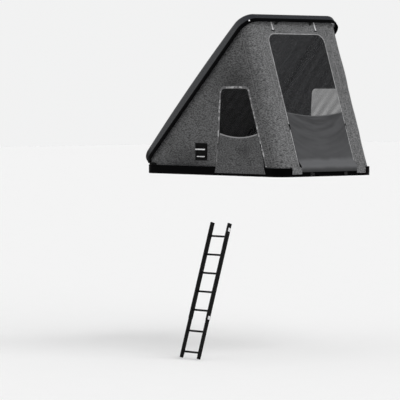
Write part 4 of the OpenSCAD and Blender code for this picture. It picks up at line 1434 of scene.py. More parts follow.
@dataclass
class Walls:
    """Fabric side walls and the rear wall with its rounded corners."""

    finishes: Finishes
    side_door: Outline
    rear_door: Outline
    rear: RearPlane
    arc_share: float = 0.09
    arc_start: float = 12.0
    side_slack: float = 0.015
    rear_slack: float = 0.009
    patch_spot: Triple = (-0.164, 0.247, 0.13)
    side_cut: Pair = (2.05, 1.47)
    side_least: float = 0.91
    rear_cut: Pair = (1.5, 1.75)
    rear_girth: float = 1.48
    skirt_area: float = 0.03
    skirt_y: tuple[Pair, ...] = ((-0.538, -0.4035), (0.4035, 0.53))
    skirt_low: float = 0.028
    skirt_wave: float = 0.0025
    skirt_turns: float = 60.0
    welt_half: float = 0.004
    welt_end: float = 0.004
    welt_up: float = 0.0022
    welt_crown: float = 0.0012
    welt_in: float = 1.25

    def __post_init__(self) -> None:
        """Works out the rear wall's length round one corner and with both corners."""
        self.arc = LAY.fabric_r * math.pi / 2.0
        self.round_length = 2.0 * (LAY.flat_y + self.arc)

    def build(self) -> None:
        """Makes the three walls and the corner seams."""
        for side in Side:
            self.side_wall(side)
        self.rear_wall()

    def side_edges(self, side: Side, u: float) -> tuple[Vector, Vector, Vector]:
        """Finds the edges of a side wall, which runs round the front corner.

        Args:
            side: side of the tent.
            u: share along the wall.

        Returns:
            The lower point, the upper point and the outward direction.
        """
        s, arc_x = side.value, LAY.front + LAY.base_r
        if u < self.arc_share:
            a = math.radians(self.arc_start + (90.0 - self.arc_start) * u / self.arc_share)
            x, y = arc_x - LAY.fabric_r * math.cos(a), s * (LAY.flat_y + LAY.fabric_r * math.sin(a))
            out = Vector((-math.cos(a), s * math.sin(a), 0.0))
            return Vector((x, y, LAY.wall_z)), Vector((x, y, LAY.fabric_top(x))), out
        t = (u - self.arc_share) / (1.0 - self.arc_share)
        y = s * LAY.fabric_y
        end = LAY.opened(LAY.lid_fabric_x - LAY.fabric_r, LAY.fabric_n)
        low = Vector((arc_x + (LAY.rear_foot - LAY.fabric_r - arc_x) * t, y, LAY.wall_z))
        high = Vector((arc_x, y, LAY.fabric_top(arc_x))).lerp(Vector((end[0], y, end[1])), t)
        return low, high, Vector((0.0, s, 0.0))

    def side_point(self, side: Side, u: float, v: float) -> Vector:
        """Point of a side wall, with a little slack in the middle.

        Args:
            side: side of the tent.
            u: share along the wall.
            v: share up the wall.

        Returns:
            The point.
        """
        low, high, out = self.side_edges(side, u)
        p = low.lerp(high, v)
        ease = hump(v, 0.5) * hump(u, 0.5) * calm(self.side_door, p.xz, (self.patch_spot,))
        return p + out * (ease * slack(p, self.side_slack))

    def side_measure(self, side: Side, u: float, v: float) -> Vector:
        """Cloth coordinates of a point of a side wall."""
        low, high, _ = self.side_edges(side, u)
        return low.lerp(high, v).xz

    def side_wall(self, side: Side) -> None:
        """Makes a side wall with the door cut out.

        Args:
            side: side of the tent.
        """
        bm = sheet_mesh(190, 120, partial(self.side_point, side), partial(self.side_measure, side))
        cut_door(bm, self.side_door, lambda p: p.xz, lambda p, q: Vector((q.x, p.y, q.y)))
        area = sheet_area(bm)
        name = f"{side.word}_wall"
        piece = add_cloth(f"{name}_canvas", bm, CLOTH_T, self.finishes.canvas, Slot.WALL, name)
        max(area, self.side_least)

    def rear_edges(self, u: float) -> tuple[Vector, Vector, Vector]:
        """Finds the edges of the rear wall, which runs round both rear corners.

        Args:
            u: share round the wall.

        Returns:
            The lower point, the upper point and the outward direction.
        """
        run = u * self.round_length - self.arc
        a = min(run, 0.0) + max(run - 2.0 * LAY.flat_y, 0.0)
        out = Vector((math.cos(a / LAY.fabric_r), math.sin(a / LAY.fabric_r), 0.0))
        y = min(max(run, 0.0), 2.0 * LAY.flat_y) - LAY.flat_y + LAY.fabric_r * out.y
        reach = LAY.fabric_r * (out.x - 1.0)
        head = LAY.opened(LAY.lid_fabric_x + reach, LAY.fabric_n)
        return Vector((LAY.rear_foot + reach, y, LAY.wall_z)), Vector((head[0], y, head[1])), out

    def rear_point(self, u: float, v: float, proud: float = 0.0) -> Vector:
        """Point of the rear wall, with a little slack.

        Args:
            u: share round the wall.
            v: share up the wall.
            proud: distance in front of the wall.

        Returns:
            The point.
        """
        low, high, out = self.rear_edges(u)
        p = low.lerp(high, v)
        give = hump(v, 0.5) * calm(self.rear_door, self.rear.flat(p))
        return p + out * (give * slack(p, self.rear_slack) + proud)

    def skirt_path(self) -> Outline:
        """Profile of a skirt: off the wall, over the rim and down the base."""
        foot, rear, z = LAY.rear_foot, LAY.rear, LAY.wall_z
        return Outline([(foot - 0.002, z + 0.012), (foot + 0.006, z + 0.006), (rear + 0.002, z + 0.0035),
                        (rear + 0.011, z - 0.004), (rear + 0.0135, z - 0.02),
                        (rear + 0.0135, self.skirt_low)])

    def skirt_point(self, path: Outline, ends: Pair, u: float, v: float) -> Vector:
        """Point of a skirt that lies over the base's rim, between two edges across."""
        (p, _), y = path.at(v), between(ends, u)
        return Vector((p.x + self.skirt_wave * math.sin(self.skirt_turns * y) * v, y, p.y))

    def rear_wall(self) -> None:
        """Makes the rear wall with its door cut out and two skirts over the base."""
        bm = sheet_mesh(200, 150, self.rear_point, lambda u, v: (u * self.rear_girth, v * self.rear.height))
        cut_door(bm, self.rear_door, lambda p: self.rear.flat(p) if abs(p.y) < LAY.flat_y else None,
                 lambda p, q: self.rear.at(q.x, q.y))
        area = sheet_area(bm)
        path = self.skirt_path()
        for ends in self.skirt_y:
            sheet_mesh(14, 22, partial(self.skirt_point, path, ends),
                       lambda u, v: (between(ends, u), v * path.length), bm)
        piece = add_cloth("rear_wall_canvas", bm, CLOTH_T, self.finishes.canvas, Slot.WALL, "rear_wall")
        area + self.skirt_area
        self.welts()

    def welt_point(self, middle: float, u: float, v: float) -> Vector:
        """Point of a welt about a share round the wall, just proud of it."""
        share = middle + self.welt_half / self.round_length * (2.0 * u - 1.0)
        return self.rear_point(min(max(share, 0.0), 1.0), v, self.welt_up + self.welt_crown * hump(u))

    def welts(self) -> Piece:
        """Makes narrow stitched welts along the rear corners.

        Returns:
            The welts.
        """
        bm = bmesh.new()
        corner = self.arc / self.round_length * self.welt_in
        for middle in (self.welt_end, corner, 1.0 - corner, 1.0 - self.welt_end):
            sheet_mesh(4, 150, partial(self.welt_point, middle), lambda u, v: (u, v * self.rear.height), bm)
        return add_cloth("rear_corner_welts", bm, TAPE_T, self.finishes.seam, Slot.ZIP)


@dataclass
class Door:
    """What a side door and the rear door have in common: net, tape, flap and sliders."""

    finishes: Finishes
    outline: Outline
    plane: WallPlane
    name: str
    net_in: float = 0.0015
    net_draw: float = 0.004
    net_rows: float = 1.6
    tape_w: float = 0.026
    pucker: float = 0.009
    tape_up: float = 0.0008
    tape_in: float = 0.001
    tape_body: float = 0.0012
    tape_step: float = 0.006
    bead: float = 0.0026
    bead_at: float = 0.45
    bead_w: float = 0.2
    pucker_turns: float = 21.0
    slider_out: float = 0.007
    slider_up: float = 0.0031
    slider_fold: float = 0.158
    slider_blocks: tuple[tuple[Triple, Triple, float], ...] = (
        ((-0.006, -0.013, 0.0), (0.006, 0.013, 0.005), 0.0018),
        ((-0.003, -0.006, 0.004), (0.003, 0.006, 0.0068), 0.0012),
        ((-0.003, -0.047, 0.002), (0.003, -0.012, 0.0045), 0.001))
    pull_end: tuple[Triple, Triple] = ((-0.004, -0.045, 0.0032), (0.004, -0.045, 0.0032))
    pull_r: float = 0.0026
    pull_edge: float = 0.0006
    flap_top: float = 0.446
    flap_cut: Pair = (0.79, 0.48)
    flap_near: float = 0.0045
    sag: float = 0.040
    hem: float = 0.0045
    hem_w: float = 0.019
    hem_roll: float = 0.05
    hem_draw: float = 0.35
    hem_at: float = 0.03
    hem_up: float = 0.0016
    fold_deep: float = 0.013
    fold_turns: float = 58.0
    fold_fade: float = 0.12
    fold_start: float = 0.03
    bend: Pair = (0.0, 0.0)
    bend_rounds: int = 12

    def net_spot(self, u: float, v: float) -> Pair:
        """Flat place of a net point, with closer rows towards the top."""
        b = self.outline.points[0].y + self.outline.box()[1] * (1.0 - (1.0 - v) ** self.net_rows)
        return between(self.outline.span(b), u), b

    def net_point(self, u: float, v: float) -> Vector:
        """Point of the net, which is drawn in a little in the middle."""
        give = 16.0 * u * (1.0 - u) * v * (1.0 - v)
        return self.plane.at(*self.net_spot(u, v), -self.net_in - self.net_draw * give)

    def net(self, held_by: str, finish: Material) -> None:
        """Makes the insect net that fills the door.

        Args:
            held_by: the wall that it is sewn into; not used.
            finish: its material.
        """
        bm = sheet_mesh(36, 60, self.net_point, self.net_spot)
        piece = add_piece(f"{self.name}_net", bm, finish, Slot.NET, (f"{self.name}_mesh",), fold=FOLD_Z)
        self.outline.box()
        self.outline.area()

    def tape_point(self, u: float, v: float) -> Vector:
        """Point of the tape, with its bead and its small puckers.

        Args:
            u: share across the tape.
            v: share along the tape.

        Returns:
            The point.
        """
        p, out = self.outline.at(v)
        q = p + out * (u * self.tape_w - self.tape_in)
        body = self.tape_body * (1.0 - abs(2.0 * u - 1.0)) ** 0.3
        rise = self.bead * math.exp(-((u - self.bead_at) / self.bead_w) ** 2)
        wave = noise.noise(Vector((v * self.outline.length * self.pucker_turns, 3.0, 0.0)))
        return self.plane.at(q.x, q.y, self.tape_up + body + rise + self.pucker * max(wave, 0.0) * hump(u))

    def tape(self, node: str, finish: Material) -> None:
        """Makes the tape with a raised bead that follows the door's edge.

        Args:
            node: solid that it stands for.
            finish: its material.
        """
        length = self.outline.length
        bm = sheet_mesh(10, int(length / self.tape_step), self.tape_point, lambda u, v: (u, v * length))
        add_cloth(f"{self.name}_edge_tape", bm, TAPE_T, finish, Slot.ZIP, node)

    def slider(self, name: str, a: float, b: float, lean: float) -> None:
        """Makes a zip slider with its pull, which runs on the tape.

        Args:
            name: solid that it stands for.
            a: place across the plane.
            b: place up the plane.
            lean: turn of the tape from upright, in radians.
        """
        bm = bmesh.new()
        for lo, hi, round_by in self.slider_blocks:
            block(lo, hi, round_by, bm=bm)
        rod(*self.pull_end, self.pull_r, self.pull_edge, 12, bm)
        c, s = math.cos(lean), math.sin(lean)
        for v in bm.verts:
            x, y, z = v.co
            v.co = self.plane.at(a + x * c + y * s, b - x * s + y * c, z + self.slider_up)
        outward(bm)
        add_piece(f"{name}_pull", bm, self.finishes.trim, Slot.TRIM, (name,), f"{name}_body",
                  fold=self.slider_fold)

    def hem_line(self, u: float) -> float:
        """Height of the flap's sagging upper edge at a share across."""
        return self.flap_top - self.sag * hump(u, 0.9)

    def fold(self, u: float, below: float) -> float:
        """Stand-out of the sag folds at a share across and a distance below the hem."""
        wave = math.sin(below * self.fold_turns) * math.exp(-below / self.fold_fade)
        return self.fold_deep * wave * hump(u)

    def hemmed(self, a: float, b: float, far: float, v: float) -> Vector:
        """Point of a flap, turned in where its upper edge rolls over.

        Args:
            a: place across the plane.
            b: place up the plane.
            far: distance from the wall.
            v: share down the flap.

        Returns:
            The point.
        """
        angle = math.pi * max(0.0, 1.0 - v / self.hem_roll)
        far = max(far, self.flap_near) - self.hem * (1.0 - math.cos(angle)) * self.hem_draw
        return self.plane.at(a, b + self.hem * math.sin(angle), far)

    def drape(self, node: str, finish: Material, hem: Material, place: Place) -> None:
        """Makes the lowered flap from a rule for its points, with its hem and a softened bend.

        Args:
            node: solid that it stands for.
            finish: its material.
            hem: material of its upper hem.
            place: point for a share across and a share down.
        """
        cut = self.flap_cut

        def border_point(u: float, v: float) -> Vector:
            """Point of the hem tape, laid over the flap's upper edge."""
            lift = self.plane.at(0.0, 0.0, self.hem_up) - self.plane.at(0.0, 0.0)
            return place(u, self.hem_at + self.hem_w / cut[1] * v) + lift

        bm = sheet_mesh(80, 84, place, lambda u, v: (u * cut[0], v * cut[1]))
        for _ in range(self.bend_rounds):
            soft = [v for v in bm.verts if self.bend[0] < v.co.z < self.bend[1] and not v.is_boundary]
            bmesh.ops.smooth_vert(bm, verts=soft, factor=0.5, use_axis_x=True, use_axis_y=False,
                                  use_axis_z=True)
        area = min(sheet_area(bm), cut[0] * cut[1])
        piece = add_cloth(f"{node}_cloth", bm, CLOTH_T, finish, Slot.FLAP, node)
        bm = sheet_mesh(80, 4, border_point, lambda u, v: (v, u * cut[0]))
        border = add_cloth(f"{node}_hem", bm, TAPE_T, hem, Slot.FLAP)


@dataclass
class SideDoor(Door):
    """Door in a side wall."""

    side: Side = Side.LEFT
    slider_z: float = 0.330
    flap_low: float = 0.028
    front_edge: tuple[Pair, ...] = ((0.028, 0.076), (0.095, 0.094), (0.329, 0.124), (0.446, 0.136))
    rear_edge: tuple[Pair, ...] = ((0.026, 0.868), (0.114, 0.838), (0.338, 0.766), (0.447, 0.724))
    stand_off: tuple[Pair, ...] = ((0.028, 0.0262), (0.080, 0.0262), (0.096, 0.0245), (0.115, 0.017),
                                   (0.17, 0.011), (0.30, 0.008), (0.446, 0.0055))
    broad_wave: float = 0.019
    small_wave: float = 0.007
    rim_z: float = 0.1
    rim_ramp: float = 0.08
    skirt_wave: float = 0.002
    skirt_turns: float = 34.0
    skirt_ramp: float = 0.05

    def build(self) -> None:
        """Makes the door's pieces."""
        word, points = self.side.word, self.outline.points
        self.net(f"{word}_wall", self.finishes.net)
        self.tape(f"{word}_door_zip", self.finishes.zip)
        self.drape(f"{word}_door_flap", self.finishes.flap, self.finishes.hem, self.flap_point)
        for end, corner, after, out in (("front", points[0], points[1], -1.0),
                                        ("rear", points[-1], points[-2], 1.0)):
            lean = math.atan2(after.x - corner.x, after.y - corner.y)
            x = corner.x + (self.slider_z - corner.y) * math.tan(lean) + out * self.slider_out
            self.slider(f"{word}_{end}_slider", x, self.slider_z, lean)

    def flap_point(self, u: float, v: float) -> Vector:
        """Point of the flap that hangs from its sagging hem, over the rim and down the base.

        Args:
            u: share along the flap.
            v: share down the flap.

        Returns:
            The point.
        """
        top, s = self.hem_line(u), self.side.value
        below = (top - self.flap_low) * max(0.0, (v - self.hem_roll) / (1.0 - self.hem_roll))
        z = top - below
        x = between((table(self.front_edge, z), table(self.rear_edge, z)), u)
        soft = self.broad_wave * noise.noise(Vector((x * 7.0, s, z * 6.0)))
        soft += self.small_wave * noise.noise(Vector((x * 4.0, s + 4.0, z * 24.0)))
        ease = min(1.0, below / self.fold_start) * min(1.0, max(0.0, z - self.rim_z) / self.rim_ramp)
        far = table(self.stand_off, z) + (self.fold(u, below) + soft) * ease * hump(u, 0.4)
        lower = min(1.0, max(0.0, self.rim_z - z) / self.skirt_ramp)
        return self.hemmed(x, z, far + self.skirt_wave * math.sin(self.skirt_turns * x) * lower, v)


@dataclass
class RearDoor(Door):
    """Door in the rear wall, with its roll-up ties."""

    half: float = 0.405
    tape_w: float = 0.009
    pucker: float = 0.0
    slider_b: float = 0.470
    flap_share: float = 0.993
    flap_top: float = 0.608
    flap_cut: Pair = (0.81, 0.72)
    sag: float = 0.044
    hem: float = 0.005
    hem_roll: float = 0.04
    hem_w: float = 0.010
    fold_turns: float = 62.0
    fold_fade: float = 0.14
    broad_wave: float = 0.010
    edge_far: float = 0.004
    edge_rise: float = 0.007
    edge_share: float = 0.05
    tail_b: float = 0.075
    tail_far: float = 0.008
    tail_from: float = 0.80
    tail_ramp: float = 0.1
    tail_low: float = 0.050
    tail_wave: float = 0.002
    tail_turns: float = 21.0
    tail_back: float = 0.003
    bend: Pair = (0.135, 0.225)
    tie_y: float = 0.312
    tie_l: float = 0.096
    tie_w: float = 0.017
    tie_up: float = 0.0016
    tie_lift: float = 0.004
    tie_under: float = 0.004
    bar: Triple = (0.016, 0.005, 0.002)
    bar_up: float = 0.0062
    bar_under: float = 0.005
    loop: Triple = (0.0045, 0.0058, 0.001)

    def build(self) -> None:
        """Makes the door's pieces."""
        self.net("rear_wall", self.finishes.rear_net)
        self.tape("rear_door_zip", self.finishes.piping)
        self.drape("rear_door_flap", self.finishes.rear_flap, self.finishes.rear_hem,
                   partial(self.flap_point, self.tail_path()))
        for side in Side:
            a = side.value * (self.half + self.slider_out)
            self.slider(f"rear_{side.word}_slider", a, self.slider_b, 0.0)
        self.ties()

    def tail_path(self) -> Outline:
        """Profile of the flap's lower end: off the wall, over the rim and down the base."""
        foot, rear, z = self.plane.at(0.0, self.tail_b, self.tail_far), LAY.rear, LAY.base_h
        return Outline([(foot.x, foot.z), (foot.x + 0.014, foot.z - 0.018), (rear + 0.004, z + 0.026),
                        (rear + 0.0125, z + 0.010), (rear + 0.0145, z - 0.008),
                        (rear + 0.0135, self.tail_low)])

    def flap_point(self, tail: Outline, u: float, v: float) -> Vector:
        """Point of the flap that hangs from its sagging hem and turns over the base's rim.

        Args:
            tail: profile of its lower end.
            u: share across the flap.
            v: share down the flap.

        Returns:
            The point.
        """
        a = self.half * (2.0 * u - 1.0) * self.flap_share
        rise = min(1.0, min(u, 1.0 - u) / self.edge_share)
        if v > self.tail_from:
            t = (v - self.tail_from) / (1.0 - self.tail_from)
            q, _ = tail.at(t)
            wave = self.tail_wave * math.sin(a * self.tail_turns) * t
            return Vector((q.x + wave - self.tail_back * (1.0 - rise) * (1.0 - t), a, q.y))
        top = self.hem_line(u)
        below = (top - self.tail_b) * max(0.0, (v - self.hem_roll) / (self.tail_from - self.hem_roll))
        b = top - below
        soft = self.broad_wave * noise.noise(Vector((a * 5.0, 5.0, b * 4.0)))
        ease = min(1.0, below / self.fold_start) * min(1.0, (b - self.tail_b) / self.tail_ramp)
        far = self.edge_far + self.edge_rise * rise + (self.fold(u, below) + soft) * ease * hump(u, 0.4)
        return self.hemmed(a, b, far, v)

    def tie_point(self, s: float, u: float, v: float) -> Vector:
        """Point of a tie on one side, which stands off a little at its lower end."""
        return self.plane.at(s * self.tie_y + self.tie_w * (u - 0.5),
                             self.plane.height - self.tie_under - self.tie_l * v,
                             self.tie_up + self.tie_lift * v * v)

    def ties(self) -> None:
        """Makes two webbing ties with toggle bars, hanging from the wall's head."""
        straps, bars = bmesh.new(), bmesh.new()
        b = self.plane.height - self.tie_under - self.tie_l - self.bar_under
        for s in SIDES:
            sheet_mesh(4, 24, partial(self.tie_point, s), lambda u, v: (u, v * self.tie_l), straps)
            for half, radius, edge in (self.bar, self.loop):
                ends = [self.plane.at(s * self.tie_y + e * half, b, self.bar_up) for e in SIDES]
                rod(*ends, radius, edge, 16, bars)
        add_cloth("rear_tie_webbing", straps, CLOTH_T, self.finishes.webbing, Slot.ZIP, "rear_door_ties")
        add_piece("tie_toggle_bars", bars, self.finishes.trim, Slot.TRIM, ("tie_toggles",), fold=FOLD_Z)


@dataclass
class LashPatch:
    """Dark patch with two light bars, on the left wall."""

    finishes: Finishes
    plane: SidePlane
    x: float = -0.258
    z: float = 0.155
    w: float = 0.188
    h: float = 0.184
    pad: Pair = (0.0045, 0.0075)
    rim: float = 0.004
    strap_at: Triple = (0.020, 0.088, 0.164)
    strap_half: float = 0.011
    strap: Pair = (0.0065, 0.0095)
    post_at: Pair = (0.012, 0.156)
    post_w: float = 0.020
    post: Pair = (0.007, 0.0115)
    edge_r: float = 0.0012
    post_r: float = 0.0015
    bar: Pair = (0.0085, 0.0165)
    bar_r: float = 0.0035
    bars: tuple[tuple[float, ...], ...] = ((0.006, 0.118, 0.156, 0.014), (0.032, 0.041, 0.126, 0.010))

    def slab(self, bm: Mesh, a: Pair, b: Pair, out: Pair, round_by: float, segments: int = 2) -> None:
        """Adds a block between places along, up and outwards from the patch's lower corner."""
        block((self.x + a[0], self.z + b[0], out[0]), (self.x + a[1], self.z + b[1], out[1]), round_by,
              segments, bm)

    def build(self) -> None:
        """Makes the patch and its bars."""
        bm = bmesh.new()
        self.slab(bm, (0.0, self.w), (0.0, self.h), self.pad, self.edge_r)
        for b in self.strap_at:
            self.slab(bm, (self.rim, self.w - self.rim), (b - self.strap_half, b + self.strap_half),
                      self.strap, self.edge_r)
        for a in self.post_at:
            self.slab(bm, (a, a + self.post_w), (self.rim, self.h - self.rim), self.post, self.post_r)
        self.lay(bm, "lash_patch_pad", self.finishes.rubber, Slot.RUBBER, "lash_patch")
        bm = bmesh.new()
        for a, b, long, high in self.bars:
            self.slab(bm, (a, a + long), (b - high / 2, b + high / 2), self.bar, self.bar_r, 3)
        self.lay(bm, "lash_patch_bars", self.finishes.light, Slot.LIGHT, "lash_bars")

    def lay(self, bm: Mesh, name: str, finish: Material, slot: Slot, node: str) -> None:
        """Lays a flat mesh on the wall as a piece.

        Args:
            bm: the flat mesh.
            name: the piece's name.
            finish: its material.
            slot: the record's material slot.
            node: solid that it stands for.
        """
        for v in bm.verts:
            v.co = self.plane.at(*v.co)
        outward(bm)
        add_piece(name, bm, finish, slot, (node,), fold=FOLD_Z)


@dataclass
class Mattress:
    """Foam mattress with a crowned top, drawn-in sides and sewn channels."""

    finishes: Finishes
    ends: Pair = (-1.0, 1.05)
    y: float = 0.625
    z0: float = 0.0425
    height: float = 0.0645
    corner_r: float = 0.06
    cells: tuple[int, int, int] = (100, 50, 8)
    channel: float = 0.205
    seam_w: float = 0.03
    seam_deep: float = 0.05
    seam_from: float = 0.03
    seam_share: float = 0.9
    side_draw: float = 0.011
    top_draw: float = 0.012
    body: float = 0.82
    crown: float = 0.08
    drop: float = 0.10
    rest: float = 0.004
    swell: float = 0.006
    fill: float = 0.8

    def sewn(self, p: Vector) -> bool:
        """True on the sewn lines across the mattress."""
        a = (p.x - self.ends[0]) / self.channel
        return abs(a - round(a)) < self.seam_w

    def fixed(self, p: Vector) -> bool:
        """True where the mattress lies on the floor or is sewn down."""
        return p.z < self.z0 + self.rest or (self.sewn(p) and p.z > self.z0 + self.seam_from)

    def shaped(self, p: Vector) -> Vector:
        """Draws a point of the plain block in to the mattress's form.

        Args:
            p: the point.

        Returns:
            Its new place.
        """
        mid = sum(self.ends) / 2
        a, b = abs(p.x - mid) / ((self.ends[1] - self.ends[0]) / 2), abs(p.y) / self.y
        h = (p.z - self.z0) / self.height
        edge = max(a ** 10, b ** 8)
        bulge = 1.0 - (2.0 * h - 1.0) ** 2
        draw = 1.0 - self.side_draw * bulge * min(edge, 1.0) - self.top_draw * edge * h ** 6
        seam = self.seam_deep if self.sewn(p) and h > self.seam_share else 0.0
        crown = self.body + (self.crown - seam) * (1.0 - edge) - self.drop * edge
        return Vector((mid + (p.x - mid) * draw, p.y * draw, self.z0 + h * self.height * crown))

    def build(self) -> None:
        """Makes the mattress."""
        high = self.z0 + self.height
        bm = plan_block(self.ends, self.y, self.corner_r, (self.z0, high), 8)
        for axis, ends in enumerate((self.ends, (-self.y, self.y), (self.z0, high))):
            slice_evenly(bm, axis, ends, self.cells[axis])
        for v in bm.verts:
            v.co = self.shaped(v.co)
        puff(bm, self.fixed, self.swell)
        piece = add_piece("mattress_pad", bm, self.finishes.ticking, Slot.WALL, ("mattress",),
                          smooth=SOFT_ANGLE)


@dataclass
class Ladder:
    """Sliding ladder that stands beside the tent."""

    finishes: Finishes
    top: Triple = (0.518, -1.0, -0.49)
    lean: float = 17.4
    length: float = 1.451
    width: float = 0.268
    wall: float = 0.002
    stile: Pair = (0.025, 0.044)
    stile_r: float = 0.003
    upper_l: float = 1.030
    lower: Pair = (0.0204, 0.0394)
    lower_r: float = 0.002
    lap: float = 0.330
    foot: float = 0.024
    foot_r: float = 0.004
    gap: float = 0.0003
    plug_h: float = 0.008
    lock_half: Pair = (0.014, 0.019)
    lock_t: float = 0.004
    lock_edge: float = 0.0015
    lock_at: Pair = (-1.008, -0.060)
    button_r: float = 0.009
    button: Pair = (0.0035, 0.0075)
    button_edge: float = 0.0018
    upper_at: tuple[float, ...] = tuple(-0.137 - 0.2 * i for i in range(5))
    lower_at: tuple[float, ...] = tuple(-0.937 - 0.224 * i for i in (1, 2))
    rung_r: float = 0.010
    rib_r: float = 0.0014
    rib_in: float = 0.012
    rib_turns: Triple = (-0.6, 0.0, 0.6)
    collar_w: float = 0.005
    collar_up: float = 0.003
    collar_edge: float = 0.001

    def build(self) -> None:
        """Makes the ladder's pieces."""
        f, end = self.finishes, -self.length + self.foot
        self.add("ladder_upper_rails", self.tubes(), f.ladder, Slot.LADDER, "ladder_upper_stiles")
        self.add("ladder_upper_treads", self.rungs(self.stile[0], self.upper_at), f.ladder, Slot.LADDER,
                 "ladder_upper_rungs")
        plugs = self.pair(self.stile, (self.gap, self.gap + self.plug_h), self.stile_r, 3)
        self.add("ladder_end_plugs", plugs, f.rubber, Slot.RUBBER, "ladder_top_plugs")
        self.add("ladder_lock_buttons", self.locks(), f.button, Slot.LIGHT, "ladder_locks")
        rails = self.pair(self.lower, (end, -self.upper_l + self.lap), self.lower_r)
        self.add("ladder_lower_rails", rails, f.ladder, Slot.LADDER, "ladder_lower_stiles", "ladder_lower")
        self.add("ladder_lower_treads", self.rungs(self.lower[0], self.lower_at), f.ladder, Slot.LADDER,
                 "ladder_lower_rungs", "ladder_lower")
        feet = self.pair(self.lower, (-self.length, end), self.foot_r, 3)
        self.add("ladder_rubber_feet", feet, f.rubber, Slot.RUBBER, "ladder_feet", "ladder_lower")

    def add(self, name: str, bm: Mesh, look: Material, slot: Slot, node: str, body: str = "ladder") -> None:
        """Turns a mesh from the ladder's own frame into place and adds it as a piece.

        Args:
            name: the piece's name.
            bm: its mesh.
            look: its material.
            slot: the record's material slot.
            node: solid that it stands for.
            body: the body that it rides on.
        """
        outward(bm)
        bm.transform(Matrix.Translation(self.top) @ Matrix.Rotation(-math.radians(self.lean), 4, "X"))
        add_piece(name, bm, look, slot, (node,), body)

    def pair(self, size: Pair, z: Pair, round_by: float = 0.0, segments: int = 2) -> Mesh:
        """Makes a block on each stile's line.

        Args:
            size: width and depth of a block.
            z: its underside and top.
            round_by: radius of its edges.
            segments: steps of the rounding.

        Returns:
            The mesh.
        """
        bm = bmesh.new()
        w, d = size[0] / 2, size[1] / 2
        for x in (-self.width / 2, self.width / 2):
            block((x - w, -d, z[0]), (x + w, d, z[1]), round_by, segments, bm)
        return bm

    def tubes(self) -> Mesh:
        """Makes the open box tubes of the upper stiles, with rounded long edges.

        Returns:
            The mesh.
        """
        bm = self.pair(self.stile, (-self.upper_l, 0.0))
        bevel(bm, upright_edges(bm, self.upper_l / 2), self.stile_r)
        drop_faces(bm, lambda f: abs(f.normal.z) > FACING)
        return thicken(bm, self.wall)

    def locks(self) -> Mesh:
        """Makes the lock plates with their buttons, outside the upper stiles.

        Returns:
            The mesh.
        """
        bm = bmesh.new()
        d, h = self.lock_half
        for s in SIDES:
            x = s * (self.width / 2 + self.stile[0] / 2 + self.gap)
            lo, hi = sorted((x, x + s * self.lock_t))
            for z in self.lock_at:
                block((lo, -d, z - h), (hi, d, z + h), self.lock_edge, bm=bm)
                rod((x + s * self.button[0], 0, z), (x + s * self.button[1], 0, z), self.button_r,
                    self.button_edge, bm=bm)
        return bm

    def rungs(self, stile_w: float, heights: Sequence[float]) -> Mesh:
        """Makes round rungs with three raised tread ribs and end collars.

        Args:
            stile_w: width of the stiles that hold them.
            heights: place of each rung.

        Returns:
            The mesh.
        """
        bm = bmesh.new()
        half = self.width / 2 - stile_w / 2 - self.gap
        for z in heights:
            rod((-half, 0, z), (half, 0, z), self.rung_r, sides=28, bm=bm)
            for a in self.rib_turns:
                y, up = math.sin(a) * self.rung_r, z + math.cos(a) * self.rung_r
                rod((-half + self.rib_in, y, up), (half - self.rib_in, y, up), self.rib_r, sides=8, bm=bm)
            for s in SIDES:
                rod((s * half, 0, z), (s * (half - self.collar_w), 0, z), self.rung_r + self.collar_up,
                    self.collar_edge, 28, bm)
        return bm


@dataclass
class Hardware:
    """Solids that keep their shape and get a finish."""

    finishes: Finishes

    def dress(self) -> None:
        """Gives each kept solid its finish."""
        f = self.finishes
        looks = {
            f.alloy: ("mounting_rails", "rail_rivets", "fabric_track", "lid_frame", "lid_beam"),
            f.board: ("base_floor",),
            f.steel: ("hinge_pins",),
            f.rubber: ("lid_seal",),
            f.hardware: ("hinge_base_leaves", "hinge_lid_leaves", "strut_base_brackets",
                         "strut_lid_brackets", "left_strut_cylinder", "right_strut_cylinder",
                         "left_strut_rod", "right_strut_rod", "latch_plates", "left_latch", "right_latch",
                         "lid_keepers"),
        }
        for look, names in looks.items():
            for name in names:
                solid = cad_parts[name]
                solid.data.materials.clear()
                solid.data.materials.append(look)
                LOG.info("finish %s on %s", look.name, name)


